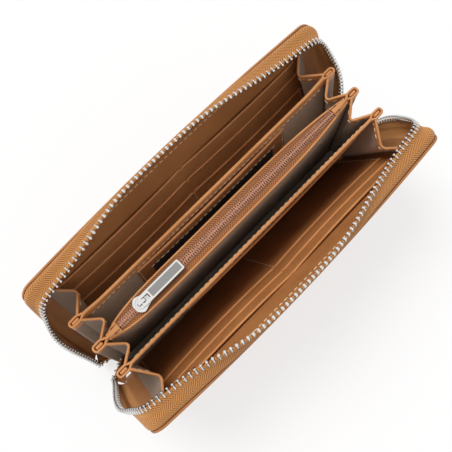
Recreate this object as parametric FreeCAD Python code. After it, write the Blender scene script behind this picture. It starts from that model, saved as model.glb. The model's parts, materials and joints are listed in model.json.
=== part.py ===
import FreeCAD, Part

import math
import os

# Zip-around wallet, standing open on its spine like a book on its back.
#
# Frame: the origin is the middle of the spine's underside. +X runs along the wallet, +Z up,
# and +Y is the left cover's side. The near end is at -X and the far end at +X.
#
# Each side is drawn once on the +Y side and mirrored for the right. A cover or a divider is
# drawn flat in its own frame: x along the wallet, y up from its hinge, z inwards to the middle
# of the wallet. It is then stood up on its hinge line and tilted out from the vertical.
#
# All sizes are millimetres and degrees.

Vec = FreeCAD.Vector

# ---- driving dimensions ---------------------------------------------------------------------
COVER_LENGTH = 208.0       # a cover, along the wallet
COVER_HEIGHT = 100.0       # a cover, from its hinge to its top edge
COVER_CORNER = 8.0         # radius of a cover's two top corners
SPINE_WIDTH = 20.0         # from one cover's hinge line to the other's
SPINE_LENGTH = 192.0
LEFT_OPEN = 22.5           # tilt of the left cover from the vertical, as photographed
RIGHT_OPEN = 25.5

LEATHER = 1.2              # outer leather of covers and spine
BOARD = 0.5                # stiffening board inside a cover
LINING = 0.4               # lining skin of covers and spine
CLEARANCE = 0.3            # running gap between pieces that move past each other

BOARD_INSET = 7.6          # board's edge in from the cover's edge
LINING_INSET = 3.0         # lining's edge in from the cover's edge
LINING_FOOT = 3.0          # lowest point of lining and board above the hinge line

CARD_LEATHER = 0.45        # one card-slot panel
CARD_POCKET_DEPTH = 0.2    # relief behind a slot panel, where the card goes
CARD_WIDTH = 85.6          # a bank card's long side
CARD_PLAY = 0.9            # free width in a slot
CARD_SEAM = 1.0            # seam beside and between the two columns of slots
CARD_FOOT = 6.0            # bottom edge of every slot panel
CARD_EDGES = (80.3, 69.7, 58.1)  # top edges of the slot panels, deepest panel first

SEWN_INSET = 2.0           # zip tape's sewn line in from the cover's edge
TAPE_MARGIN = 5.0          # tape hidden between cover and lining
TAPE_THICK = BOARD         # the tape fills the board's layer at the edge
TAPE_WIDTH = 11.4          # visible tape from the sewn line to its beaded edge
TAPE_FOOT_WIDTH = 7.6      # the same, at the foot of the zip
TAPE_FOOT = 8.0            # foot of the zip above the hinge line
TAPE_WIDEN = 50.0          # length over which the tape reaches its full width
LEAN_FOOT = 90.0           # tape's angle out of the cover's plane, at the foot,
LEAN_END = 63.0            # up the short ends,
LEAN_CORNER = 96.0         # round the corners,
LEFT_LEAN_TOP = 58.0       # and in the middle of the long top edges
RIGHT_LEAN_TOP = 40.0

TOOTH_PITCH = 3.0
TOOTH_WIDTH = 1.3          # along the chain
TOOTH_THICK = 2.3          # across the tape
TOOTH_TIP_THICK = 1.5
TOOTH_LEG = 2.0            # crimped length on the tape
TOOTH_REACH = 1.8          # head past the tape's edge
TOOTH_GRIP = 0.1           # room between the crimped jaws and the tape

DIVIDER_SPACING = 8.6      # between the two dividers' hinge lines
DIVIDER_TILT = 9.1
DIVIDER_THICK = 1.2
DIVIDER_LENGTH = 176.0
DIVIDER_HEIGHT = 79.0      # hinge line to the panel's top edge
BINDING_THICK = 0.5        # leather folded over a panel's edge
BINDING_DROP = 5.0         # how far it reaches down each face
BINDING_LENGTH = 166.0

POCKET_LEATHER = 0.6       # slip pockets sewn to the dividers
POCKET_FOOT = 4.0
ID_POCKET_LENGTH = 104.0
ID_POCKET_TOP = 73.0
ID_WINDOW_LENGTH = 84.0
ID_WINDOW_FOOT = 12.0
ID_WINDOW_TOP = 64.0
ID_FILM = 0.3
SLIP_POCKET_START = -50.0
SLIP_POCKET_TOP = 66.0

COIN_LENGTH = 172.0        # coin pocket walls
COIN_TOP = 82.3            # height of the walls' top edges
COIN_WALL = 1.0
COIN_FOOT_HALF = 1.3       # half width over the walls: at the spine,
COIN_END_HALF = 2.6        # at the top of the pinched ends
COIN_MIDDLE_HALF = 6.3     # and at the top in the middle

COIL_LENGTH = 138.0
COIL_HALF = 2.0            # outer edge of each coil row from the middle
COIL_GAP = 0.9             # inner edge of each coil row from the middle
COIL_THICK = 2.0
COIL_FOOT = 80.6
COIN_TAPE_THICK = 0.4
COIN_TAPE_FOOT = 81.1
TAB_THICK = 0.8
TAB_LENGTH = 14.0

LOOP_LEG = 8.5             # straight leg of the gusset's loop round a divider's end
LOOP_WALL = 0.5
LOOP_PLAY = 0.3            # room between the coin pocket's flaring walls and its loops
LOOP_FOOT = 3.0            # foot of the loops above the hinge line
LOOP_TOP = 83.2            # height of the loops' top edges above the floor
LOOP_TOP_HALF = 2.0        # half width of a divider's loop at its top
LOOP_TIP = 95.5            # tip of the loops from the middle of the wallet
LOOP_FACETS = 6            # flats round a loop's nose

GUSSET_THICK = 0.4         # folded gusset panels
GUSSET_BAND = 5.0          # height of the leather band along their top edge
GUSSET_BAND_THICK = 0.6
GUSSET_LINE = 93.0         # where gusset panels leave the loops and the covers
GUSSET_FOLD = 82.2         # the inward folds' distance from the middle, at the top
GUSSET_FOLD_TOP = 77.0     # height of the inward folds' top
GUSSET_FOOT = 15.0         # height of the panels' lower edge
GUSSET_FOLD_GAP = 0.3      # each panel's edge from the fold line
GUSSET_OPEN_GAP = 0.8      # free edge from the line that it follows

SLIDER_LENGTH = 9.0
SLIDER_HALF = 4.2          # half width of the slider's front
SLIDER_TAIL_HALF = 2.8
SLIDER_PLATE = 1.0
SLIDER_KEEL_HALF = 2.3     # half width of the coin slider's lower plate
SLIDER_POST_HALF = 0.5
COIN_SLIDER_X = -64.0
LUG_LENGTH = 5.0
LUG_HALF = 0.7
LUG_WALL = 0.6
LUG_ROOM = 1.9             # clear height under the lug

PULL_BAR = 0.45            # radius of the cross bar that the pull turns on
PULL_THICK = 1.0
PULL_HALF = 2.9
PULL_LENGTH = 27.0
PULL_EYE = 4.6             # length of the open eye round the lug
PULL_EYE_HALF = 1.3
PULL_RIM = 0.8             # raised border of the pull's plate
PULL_DISH = 0.25           # depth of its sunk panel

MAIN_SLIDER_FOOT = 1.0
MAIN_SLIDER_HEIGHT = 8.0
MAIN_SLIDER_DEPTH = 4.6    # outer plate's face from the inner plate's back
MAIN_PULL_LENGTH = 20.0
MAIN_PULL_DROP = 12.0      # degrees that the resting pull points below the level

# ---- derived places -------------------------------------------------------------------------
COVER_HINGE = (SPINE_WIDTH / 2, LEATHER / 2)                  # (y, z) of a cover's hinge line
SPINE_HALF = SPINE_WIDTH / 2 - LEATHER / 2 - CLEARANCE
SPINE_TOP = LEATHER + LINING
DIVIDER_HINGE = (DIVIDER_SPACING / 2, SPINE_TOP + CLEARANCE + DIVIDER_THICK / 2)
BOARD_FACE = LEATHER / 2                                      # depths inside a cover
LINING_FACE = BOARD_FACE + BOARD
CARD_FACE = LINING_FACE + LINING
CARD_SPAN = 2 * (CARD_WIDTH + CARD_PLAY) + 3 * CARD_SEAM
PULL_AXIS_RISE = 1.0                                          # cross bar above the slider's plate
COIL_TOP = COIL_FOOT + COIL_THICK
SLIDER_TOP = COIL_TOP + CLEARANCE + SLIDER_PLATE
COIN_LOOP_FOOT_HALF = COIN_FOOT_HALF + LOOP_PLAY + LOOP_WALL
COIN_LOOP_TOP_HALF = COIN_END_HALF + LOOP_PLAY + LOOP_WALL
DIVIDER_LOOP_FOOT_HALF = DIVIDER_THICK / 2 + LOOP_WALL
MAIN_SLIDER_X = SPINE_LENGTH / 2 + CLEARANCE


# ---- helpers --------------------------------------------------------------------------------
def block(x0, x1, y0, y1, z0, z1):
    return Part.makeBox(x1 - x0, y1 - y0, z1 - z0, Vec(x0, y0, z0))


def prism(points, direction):
    """A solid swept in a straight line from a flat outline."""
    solid = Part.Face(Part.makePolygon(points + points[:1])).extrude(direction)
    if solid.Volume < 0:
        solid.reverse()
    return solid


def stand(shape, hinge, tilt):
    """Stands a flat-drawn piece up on its hinge line, tilted out from the vertical."""
    placed = shape.copy()
    turn = FreeCAD.Rotation(Vec(1, 0, 0), 90 - tilt)
    placed.Placement = FreeCAD.Placement(Vec(0, *hinge), turn).multiply(placed.Placement)
    return placed


def to_side(shape, side):
    """The piece itself on the left, its mirror image on the right."""
    return shape if side == "left" else shape.mirror(Vec(0, 0, 0), Vec(0, 1, 0))


def to_end(shape, end):
    return shape if end == "far" else shape.mirror(Vec(0, 0, 0), Vec(1, 0, 0))


def unit(v):
    return v / v.Length


def smooth(t):
    t = min(max(t, 0.0), 1.0)
    return t * t * (3 - 2 * t)


# ---- covers ---------------------------------------------------------------------------------
def rounded_panel(inset, foot, depth, thick):
    """A panel with the cover's outline, set in from its edge, with round top corners."""
    half = COVER_LENGTH / 2 - inset
    top = COVER_HEIGHT - inset
    r = max(COVER_CORNER - inset, 1.0)
    k = r * (1 - math.sqrt(0.5))
    a, b = Vec(-half, foot, depth), Vec(-half, top - r, depth)
    c, d = Vec(-half + r, top, depth), Vec(half - r, top, depth)
    e, f = Vec(half, top - r, depth), Vec(half, foot, depth)
    edges = [Part.LineSegment(a, b),
             Part.Arc(b, Vec(-half + k, top - k, depth), c),
             Part.LineSegment(c, d),
             Part.Arc(d, Vec(half - k, top - k, depth), e),
             Part.LineSegment(e, f),
             Part.LineSegment(f, a)]
    outline = Part.Wire([edge.toShape() for edge in edges])
    return Part.Face(outline).extrude(Vec(0, 0, thick))


def cover_leather():
    skin = rounded_panel(0, 0, -LEATHER / 2, LEATHER)
    roll = Part.makeCylinder(LEATHER / 2, COVER_LENGTH, Vec(-COVER_LENGTH / 2, 0, 0), Vec(1, 0, 0))
    return skin.fuse(roll).removeSplitter()


def card_panel(row):
    """One row of two card slots: a skin with a shallow pocket behind each column."""
    depth = CARD_FACE + row * CARD_LEATHER
    top = CARD_EDGES[row]
    skin = block(-CARD_SPAN / 2, CARD_SPAN / 2, CARD_FOOT, top, depth, depth + CARD_LEATHER)
    slot = CARD_WIDTH + CARD_PLAY
    for start in (-CARD_SEAM / 2 - slot, CARD_SEAM / 2):
        skin = skin.cut(block(start, start + slot, CARD_FOOT + CARD_SEAM, top,
                              depth, depth + CARD_POCKET_DEPTH))
    return skin


# ---- main zip -------------------------------------------------------------------------------
SEWN_HALF = COVER_LENGTH / 2 - SEWN_INSET
SEWN_TOP = COVER_HEIGHT - SEWN_INSET
SEWN_RADIUS = COVER_CORNER - SEWN_INSET
SIDE_RUN = SEWN_TOP - SEWN_RADIUS - TAPE_FOOT
CORNER_RUN = math.pi / 2 * SEWN_RADIUS
TOP_RUN = 2 * (SEWN_HALF - SEWN_RADIUS)
ZIP_RUN = 2 * SIDE_RUN + 2 * CORNER_RUN + TOP_RUN


def sewn_place(s):
    """Point on the sewn line and the outward direction there, in the cover's plane."""
    if s > ZIP_RUN / 2:
        point, out = sewn_place(ZIP_RUN - s)
        return Vec(-point.x, point.y, point.z), Vec(-out.x, out.y, out.z)
    if s <= SIDE_RUN:
        return Vec(-SEWN_HALF, TAPE_FOOT + s, BOARD_FACE), Vec(-1, 0, 0)
    if s <= SIDE_RUN + CORNER_RUN:
        turn = (s - SIDE_RUN) / SEWN_RADIUS
        out = Vec(-math.cos(turn), math.sin(turn), 0)
        centre = Vec(-SEWN_HALF + SEWN_RADIUS, SEWN_TOP - SEWN_RADIUS, BOARD_FACE)
        return centre + out * SEWN_RADIUS, out
    along = s - SIDE_RUN - CORNER_RUN
    return Vec(-SEWN_HALF + SEWN_RADIUS + along, SEWN_TOP, BOARD_FACE), Vec(0, 1, 0)


def tape_lean(s, lean_top):
    """Angle of the tape out of the cover's plane: it flares at the ends and folds in at corners."""
    u = min(s, ZIP_RUN - s)
    corner = SIDE_RUN + CORNER_RUN / 2
    lean = LEAN_FOOT + (LEAN_END - LEAN_FOOT) * smooth(u / (0.4 * SIDE_RUN))
    lean += (LEAN_CORNER - LEAN_END) * smooth((u - 0.55 * corner) / (0.45 * corner))
    lean += (lean_top - LEAN_CORNER) * smooth((u - corner) / (0.65 * (ZIP_RUN / 2 - corner)))
    return math.radians(lean)


def tape_width(s):
    u = min(s, ZIP_RUN - s)
    return TAPE_FOOT_WIDTH + (TAPE_WIDTH - TAPE_FOOT_WIDTH) * smooth(u / TAPE_WIDEN)


def tape_section(s, lean_top):
    """Corners of the tape's section: the hidden margin lies flat, the visible part leans out."""
    point, out = sewn_place(s)
    lean = tape_lean(s, lean_top)
    inward = Vec(0, 0, 1)
    across = out * math.cos(lean) + inward * math.sin(lean)
    inner = inward * math.cos(lean) - out * math.sin(lean)
    edge = point + across * tape_width(s)
    bend = TAPE_THICK * math.tan(lean / 2)
    return [point - out * TAPE_MARGIN, point, edge, edge + inner * TAPE_THICK,
            point + across * bend + inner * TAPE_THICK,
            point - out * TAPE_MARGIN + inward * TAPE_THICK]


def run_stations():
    """Places along the sewn line where the tape's section is set, closest round the corners."""
    marks = [0]
    runs = ((SIDE_RUN, 7), (CORNER_RUN, 8), (TOP_RUN, 10), (CORNER_RUN, 8), (SIDE_RUN, 7))
    for length, count in runs:
        start = marks[-1]
        marks += [start + length * (k + 1) / count for k in range(count)]
    return marks


def tape_at(s, marks, sections):
    """Corners of the tape anywhere: they run straight from one station to the next."""
    k = max(i for i, mark in enumerate(marks[:-1]) if mark <= s)
    share = (s - marks[k]) / (marks[k + 1] - marks[k])
    return [a + (b - a) * share for a, b in zip(sections[k], sections[k + 1])]


def zip_tape(sections):
    return Part.makeLoft([Part.makePolygon(c + c[:1]) for c in sections], True, True)


def zip_tooth():
    """One crimped tooth: x along the chain, y across the tape, z through it."""
    outer, tip, jaw = TOOTH_THICK / 2, TOOTH_TIP_THICK / 2, TAPE_THICK / 2 + TOOTH_GRIP
    half = [(-TOOTH_LEG, outer), (TOOTH_REACH, tip)]
    channel = [(TOOTH_GRIP, jaw), (-TOOTH_LEG, jaw)]
    profile = half + [(y, -z) for y, z in reversed(half)]
    profile += [(y, -z) for y, z in reversed(channel)] + channel
    return prism([Vec(-TOOTH_WIDTH / 2, y, z) for y, z in profile], Vec(TOOTH_WIDTH, 0, 0))


def zip_teeth(marks, sections):
    """Teeth crimped on the tape's edge, each square to the chain where it sits."""
    tooth = zip_tooth()
    count = int((ZIP_RUN - 2 * TOOTH_WIDTH) // TOOTH_PITCH)
    start = (ZIP_RUN - (count - 1) * TOOTH_PITCH) / 2
    teeth = []
    for k in range(count):
        s = start + k * TOOTH_PITCH
        before = tape_at(s - TOOTH_WIDTH / 2, marks, sections)
        after = tape_at(s + TOOTH_WIDTH / 2, marks, sections)
        _, sewn, edge, back, _, _ = [(a + b) / 2 for a, b in zip(before, after)]
        along = unit(after[2] + after[3] - before[2] - before[3])
        across = unit(edge - sewn - along * along.dot(edge - sewn))
        one = tooth.copy()
        turn = FreeCAD.Rotation(along, across, along.cross(across), "YZX")
        one.Placement = FreeCAD.Placement((edge + back) / 2, turn)
        teeth.append(one)
    return Part.makeCompound(teeth)


def cover_pieces(side):
    tilt, lean_top = {"left": (LEFT_OPEN, LEFT_LEAN_TOP), "right": (RIGHT_OPEN, RIGHT_LEAN_TOP)}[side]
    marks = run_stations()
    sections = [tape_section(s, lean_top) for s in marks]
    flat = {
        "cover_leather": cover_leather(),
        "cover_board": rounded_panel(BOARD_INSET, LINING_FOOT, BOARD_FACE, BOARD),
        "cover_lining": rounded_panel(LINING_INSET, LINING_FOOT, LINING_FACE, LINING),
        "zip_tape": zip_tape(sections),
        "zip_teeth": zip_teeth(marks, sections),
    }
    for row, name in enumerate(("back", "middle", "front")):
        flat[name + "_card_slots"] = card_panel(row)
    return {f"{side}_{name}": to_side(stand(shape, COVER_HINGE, tilt), side)
            for name, shape in flat.items()}


# ---- spine ----------------------------------------------------------------------------------
def spine_pieces():
    half = SPINE_LENGTH / 2
    leather = block(-half, half, -SPINE_HALF, SPINE_HALF, 0, LEATHER)
    lining = block(-half + 1, half - 1, -SPINE_HALF + 0.5, SPINE_HALF - 0.5, LEATHER, SPINE_TOP)
    return {"spine_leather": leather, "spine_lining": lining}


# ---- loops round the ends of the dividers and of the coin pocket ----------------------------
def loop_wire(half, y, place):
    """U-shaped section of a loop, at height y of the piece that it wraps. Its nose is faceted."""
    start, centre = LOOP_TIP - half - LOOP_LEG, LOOP_TIP - half
    turns = [math.pi * (k / LOOP_FACETS - 0.5) for k in range(LOOP_FACETS + 1)]
    outside, inside = ([(start, -r)] + [(centre + r * math.cos(t), r * math.sin(t)) for t in turns]
                       + [(start, r)] for r in (half, half - LOOP_WALL))
    points = [place(x, y, z) for x, z in outside + inside[::-1]]
    return Part.makePolygon(points + points[:1])


def loop_pair(foot_half, top_half, foot, top, place):
    far = Part.makeLoft([loop_wire(foot_half, foot, place), loop_wire(top_half, top, place)],
                        True, True)
    return Part.makeCompound([to_end(far, "far"), to_end(far, "near")])


# ---- dividers -------------------------------------------------------------------------------
def divider_panel():
    half = DIVIDER_LENGTH / 2
    skin = block(-half, half, 0, DIVIDER_HEIGHT, -DIVIDER_THICK / 2, DIVIDER_THICK / 2)
    roll = Part.makeCylinder(DIVIDER_THICK / 2, DIVIDER_LENGTH, Vec(-half, 0, 0), Vec(1, 0, 0))
    return skin.fuse(roll).removeSplitter()


def divider_binding():
    half, outer = BINDING_LENGTH / 2, DIVIDER_THICK / 2 + BINDING_THICK
    cap = block(-half, half, DIVIDER_HEIGHT - BINDING_DROP, DIVIDER_HEIGHT, -outer, outer)
    crown = Part.makeCylinder(outer, BINDING_LENGTH, Vec(-half, DIVIDER_HEIGHT, 0), Vec(1, 0, 0))
    return cap.fuse(crown).removeSplitter().cut(divider_panel())


def divider_loop_top():
    return (LOOP_TOP - DIVIDER_HINGE[1]) / math.cos(math.radians(DIVIDER_TILT))


def divider_loops():
    return loop_pair(DIVIDER_LOOP_FOOT_HALF, LOOP_TOP_HALF, LOOP_FOOT, divider_loop_top(),
                     lambda x, y, z: Vec(x, y, z))


def id_pocket():
    half, face = ID_POCKET_LENGTH / 2, DIVIDER_THICK / 2
    frame = block(-half, half, POCKET_FOOT, ID_POCKET_TOP, face, face + POCKET_LEATHER)
    return frame.cut(id_hole(face, face + POCKET_LEATHER))


def id_hole(z0, z1):
    half = ID_WINDOW_LENGTH / 2
    return block(-half, half, ID_WINDOW_FOOT, ID_WINDOW_TOP, z0, z1)


def slip_pocket():
    face = DIVIDER_THICK / 2
    return block(SLIP_POCKET_START, BINDING_LENGTH / 2, POCKET_FOOT, SLIP_POCKET_TOP,
                 -face - POCKET_LEATHER, -face)


def divider_pieces(side):
    flat = {"divider_panel": divider_panel(), "divider_binding": divider_binding(),
            "divider_loops": divider_loops()}
    if side == "left":
        face = DIVIDER_THICK / 2
        flat["divider_id_pocket"] = id_pocket()
        flat["divider_id_window"] = id_hole(face, face + ID_FILM)
    else:
        flat["divider_slip_pocket"] = slip_pocket()
    return {f"{side}_{name}": to_side(stand(shape, DIVIDER_HINGE, DIVIDER_TILT), side)
            for name, shape in flat.items()}


# ---- coin pocket ----------------------------------------------------------------------------
def coin_half(x, height):
    """Half width over the coin pocket's walls: pinched at the ends, full in the middle."""
    rise = (height - SPINE_TOP) / (COIN_TOP - SPINE_TOP)
    ends = COIN_FOOT_HALF + (COIN_END_HALF - COIN_FOOT_HALF) * rise
    middle = COIN_FOOT_HALF + (COIN_MIDDLE_HALF - COIN_FOOT_HALF) * rise
    return ends + (middle - ends) * (1 - (2 * x / COIN_LENGTH) ** 2)


def coin_wall_wire(height):
    half = COIN_LENGTH / 2
    ends, middle = coin_half(half, height), coin_half(0, height) + 0.01
    outer = [Vec(-half, ends, height), Vec(0, middle, height), Vec(half, ends, height)]
    inner = [p - Vec(0, COIN_WALL, 0) for p in outer]
    edges = [Part.Arc(*outer), Part.LineSegment(outer[2], inner[2]),
             Part.Arc(*reversed(inner)), Part.LineSegment(inner[0], outer[0])]
    return Part.Wire([edge.toShape() for edge in edges])


def coin_wall():
    return Part.makeLoft([coin_wall_wire(SPINE_TOP), coin_wall_wire(COIN_TOP)], True, True)


def coin_tape():
    """Woven strip from a wall to its row of the coil."""
    half = COIL_LENGTH / 2
    ends = coin_half(half, COIN_TAPE_FOOT) - COIN_WALL
    middle = coin_half(0, COIN_TAPE_FOOT) - COIN_WALL
    a, b = Vec(-half, COIL_HALF, COIN_TAPE_FOOT), Vec(half, COIL_HALF, COIN_TAPE_FOOT)
    c, d = Vec(half, ends, COIN_TAPE_FOOT), Vec(-half, ends, COIN_TAPE_FOOT)
    edges = [Part.LineSegment(a, b), Part.LineSegment(b, c),
             Part.Arc(c, Vec(0, middle, COIN_TAPE_FOOT), d), Part.LineSegment(d, a)]
    outline = Part.Wire([edge.toShape() for edge in edges])
    return Part.Face(outline).extrude(Vec(0, 0, COIN_TAPE_THICK))


def coin_coil():
    half = COIL_LENGTH / 2
    return block(-half, half, COIL_GAP, COIL_HALF, COIL_FOOT, COIL_TOP)


def coin_tab():
    """Leather tab over the end of the coin zip, narrowing to the pinched end."""
    x0, x1 = COIL_LENGTH / 2, COIL_LENGTH / 2 + TAB_LENGTH
    y0, y1 = coin_half(x0, COIN_TOP), coin_half(x1, COIN_TOP)
    outline = [Vec(x0, -y0, COIN_TOP), Vec(x1, -y1, COIN_TOP), Vec(x1, y1, COIN_TOP), Vec(x0, y0, COIN_TOP)]
    return prism(outline, Vec(0, 0, TAB_THICK))


def coin_loops():
    return loop_pair(COIN_LOOP_FOOT_HALF, COIN_LOOP_TOP_HALF, SPINE_TOP, LOOP_TOP,
                     lambda x, y, z: Vec(x, z, y))


def coin_pieces():
    pieces = {"coin_pocket_loops": coin_loops()}
    for side in ("left", "right"):
        pieces[f"coin_pocket_{side}_wall"] = to_side(coin_wall(), side)
        pieces[f"coin_zip_{side}_tape"] = to_side(coin_tape(), side)
        pieces[f"coin_zip_{side}_coil"] = to_side(coin_coil(), side)
    for end in ("near", "far"):
        pieces[f"coin_zip_{end}_tab"] = to_end(coin_tab(), end)
    return pieces


# ---- sliders and pulls ----------------------------------------------------------------------
def slider_plate(front_half, tail_half, z0, z1):
    """Shield-shaped plate, nose at -x."""
    nose, tail = -SLIDER_LENGTH / 2, SLIDER_LENGTH / 2
    shoulder = nose + 0.3 * SLIDER_LENGTH
    outline = [Vec(nose, -tail_half, z0), Vec(shoulder, -front_half, z0), Vec(tail, -tail_half, z0),
               Vec(tail, tail_half, z0), Vec(shoulder, front_half, z0), Vec(nose, tail_half, z0)]
    return prism(outline, Vec(0, 0, z1 - z0))


def slider_lug(face):
    """Arch on the slider's outer plate that the pull's cross bar hangs in."""
    half = LUG_LENGTH / 2
    arch = block(-half, half, -LUG_HALF, LUG_HALF, face, face + LUG_ROOM + LUG_WALL)
    room = block(-half + LUG_WALL, half - LUG_WALL, -LUG_HALF, LUG_HALF, face, face + LUG_ROOM)
    return arch.cut(room)


def pull(length):
    """Flat pull lying along +x: x and z are measured from its cross bar's axis."""
    plate = block(-PULL_BAR, length, -PULL_HALF, PULL_HALF, -PULL_THICK / 2, PULL_THICK / 2)
    eye = block(PULL_BAR, PULL_BAR + PULL_EYE, -PULL_EYE_HALF, PULL_EYE_HALF,
                -PULL_THICK, PULL_THICK)
    start = PULL_BAR + PULL_EYE + PULL_RIM
    dish = block(start, length - PULL_RIM, -PULL_HALF + PULL_RIM, PULL_HALF - PULL_RIM,
                 PULL_THICK / 2 - PULL_DISH, PULL_THICK)
    corners = [e for e in plate.Edges
               if abs(e.BoundBox.XLength) < 1e-6 and abs(e.BoundBox.YLength) < 1e-6
               and e.BoundBox.XMin > 0]
    return plate.makeFillet(PULL_RIM, corners).cut(eye).cut(dish)


def coin_slider():
    keel_top = COIL_FOOT - CLEARANCE
    upper = slider_plate(SLIDER_HALF, SLIDER_TAIL_HALF, SLIDER_TOP - SLIDER_PLATE, SLIDER_TOP)
    keel = slider_plate(SLIDER_KEEL_HALF, SLIDER_KEEL_HALF, keel_top - SLIDER_PLATE, keel_top)
    post = block(-SLIDER_LENGTH / 2, -1, -SLIDER_POST_HALF, SLIDER_POST_HALF,
                 keel_top, SLIDER_TOP - SLIDER_PLATE)
    body = upper.fuse([keel, post, slider_lug(SLIDER_TOP)]).removeSplitter()
    return body.translated(Vec(COIN_SLIDER_X, 0, 0))


def coin_pull():
    return pull(PULL_LENGTH).translated(Vec(COIN_SLIDER_X, 0, SLIDER_TOP + PULL_AXIS_RISE))


def main_slider_axis():
    return Vec(MAIN_SLIDER_X + MAIN_SLIDER_DEPTH + PULL_AXIS_RISE, 0,
               MAIN_SLIDER_FOOT + MAIN_SLIDER_HEIGHT / 2)


def main_slider():
    """Slider of the long zip, parked where the chain ends at the foot of the far end."""
    inner = slider_plate(SLIDER_HALF, SLIDER_TAIL_HALF, 0, SLIDER_PLATE)
    outer = slider_plate(SLIDER_HALF, SLIDER_TAIL_HALF, MAIN_SLIDER_DEPTH - SLIDER_PLATE,
                         MAIN_SLIDER_DEPTH)
    post = block(-SLIDER_LENGTH / 2, 0, -SLIDER_POST_HALF, SLIDER_POST_HALF,
                 SLIDER_PLATE, MAIN_SLIDER_DEPTH - SLIDER_PLATE)
    body = inner.fuse([outer, post, slider_lug(MAIN_SLIDER_DEPTH)]).removeSplitter()
    up = FreeCAD.Placement(Vec(MAIN_SLIDER_X, 0, MAIN_SLIDER_FOOT + SLIDER_LENGTH / 2),
                           FreeCAD.Rotation(Vec(0, 1, 0), 90))
    body.Placement = up.multiply(body.Placement)
    return body


def main_pull():
    tag = pull(MAIN_PULL_LENGTH)
    tag.rotate(Vec(0, 0, 0), Vec(0, 1, 0), MAIN_PULL_DROP)
    return tag.translated(main_slider_axis())


# ---- folded gussets -------------------------------------------------------------------------
def line_on(hinge, tilt, depths, heights):
    """Straight line in a leaning piece's frame, as two (y, z) points of the wallet."""
    s, c = math.sin(math.radians(tilt)), math.cos(math.radians(tilt))
    return [(hinge[0] + h * s - d * c, hinge[1] + h * c + d * s) for d, h in zip(depths, heights)]


def gusset_lines(side):
    """Lines that the gusset panels run between: coin pocket, both divider faces, cover."""
    air_foot, air = GUSSET_THICK + CLEARANCE, GUSSET_BAND_THICK + CLEARANCE
    open_tilt = LEFT_OPEN if side == "left" else RIGHT_OPEN
    foot, top = DIVIDER_LOOP_FOOT_HALF + air_foot, LOOP_TOP_HALF + air
    spread = (LOOP_FOOT, divider_loop_top())
    return {
        "coin": [(COIN_LOOP_FOOT_HALF + air_foot, SPINE_TOP), (COIN_LOOP_TOP_HALF + air, LOOP_TOP)],
        "divider_inner": line_on(DIVIDER_HINGE, DIVIDER_TILT, (foot, top), spread),
        "divider_outer": line_on(DIVIDER_HINGE, DIVIDER_TILT, (-foot, -top), spread),
        "cover": line_on(COVER_HINGE, open_tilt, (CARD_FACE + air, CARD_FACE + air),
                         (0, COVER_HEIGHT)),
    }


def y_at(line, z):
    (y0, z0), (y1, z1) = line
    return y0 + (y1 - y0) * (z - z0) / (z1 - z0)


def crossing(a, b):
    """Where two lines of the cross section meet."""
    slope_a = (a[1][0] - a[0][0]) / (a[1][1] - a[0][1])
    slope_b = (b[1][0] - b[0][0]) / (b[1][1] - b[0][1])
    z = (y_at(a, 0) - y_at(b, 0)) / (slope_b - slope_a)
    return Vec(GUSSET_LINE, y_at(a, z), z)


def gusset_layout(side, fold):
    """Corner points of one V fold at the far end: panel edges all aim at one point."""
    lines = gusset_lines(side)
    inner, outer = {"inner": ("coin", "divider_inner"), "outer": ("divider_outer", "cover")}[fold]
    inner, outer = lines[inner], lines[outer]
    apex = crossing(inner, outer)
    middle = (y_at(inner, GUSSET_FOLD_TOP) + y_at(outer, GUSSET_FOLD_TOP)) / 2
    fold_top = Vec(GUSSET_FOLD, middle, GUSSET_FOLD_TOP)
    share = (GUSSET_FOOT - apex.z) / (GUSSET_FOLD_TOP - apex.z)
    ends = [[Vec(GUSSET_LINE, y_at(line, z), z) for z in (GUSSET_FOOT, LOOP_TOP)]
            for line in (inner, outer)]
    return {"fold": [apex + (fold_top - apex) * share, fold_top], "inner": ends[0], "outer": ends[1]}


def gusset_panel(fold_line, end_line, end_gap):
    """Flat panel from a fold to the line that it is sewn to or follows, with its banded top."""
    run = unit(fold_line[1] - fold_line[0])
    to_end_line = end_line[0] - fold_line[0]
    normal = unit(run.cross(to_end_line))
    if normal.x > 0:
        normal = normal * -1
    away = unit(to_end_line - run * to_end_line.dot(run))
    end_run = unit(end_line[1] - end_line[0])
    back = unit(away - end_run * away.dot(end_run)) * -1
    foot = [fold_line[0] + away * GUSSET_FOLD_GAP, end_line[0] + back * end_gap]
    top = [fold_line[1] + away * GUSSET_FOLD_GAP, end_line[1] + back * end_gap]
    panel = prism([foot[0], foot[1], top[1], top[0]], normal * GUSSET_THICK)
    drop = [top[0] - run * GUSSET_BAND, top[1] - end_run * GUSSET_BAND]
    band = prism([drop[0], drop[1], top[1], top[0]], normal * GUSSET_BAND_THICK)
    return panel.fuse(band).removeSplitter()


def gusset_pieces():
    pieces = {}
    for side in ("left", "right"):
        for fold in ("inner", "outer"):
            layout = gusset_layout(side, fold)
            halves = {"sewn": gusset_panel(layout["fold"], layout["inner"], 0),
                      "free": gusset_panel(layout["fold"], layout["outer"], GUSSET_OPEN_GAP)}
            for end in ("near", "far"):
                for half, shape in halves.items():
                    name = f"{end}_{side}_{fold}_gusset_{half}_half"
                    pieces[name] = to_side(to_end(shape, end), side)
    return pieces


# ---- all pieces -----------------------------------------------------------------------------
def all_pieces():
    pieces = spine_pieces()
    for side in ("left", "right"):
        pieces.update(cover_pieces(side))
        pieces.update(divider_pieces(side))
    pieces.update(coin_pieces())
    pieces.update(gusset_pieces())
    pieces.update({"coin_slider": coin_slider(), "coin_pull": coin_pull(),
                   "main_slider": main_slider(), "main_pull": main_pull()})
    return pieces


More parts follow.
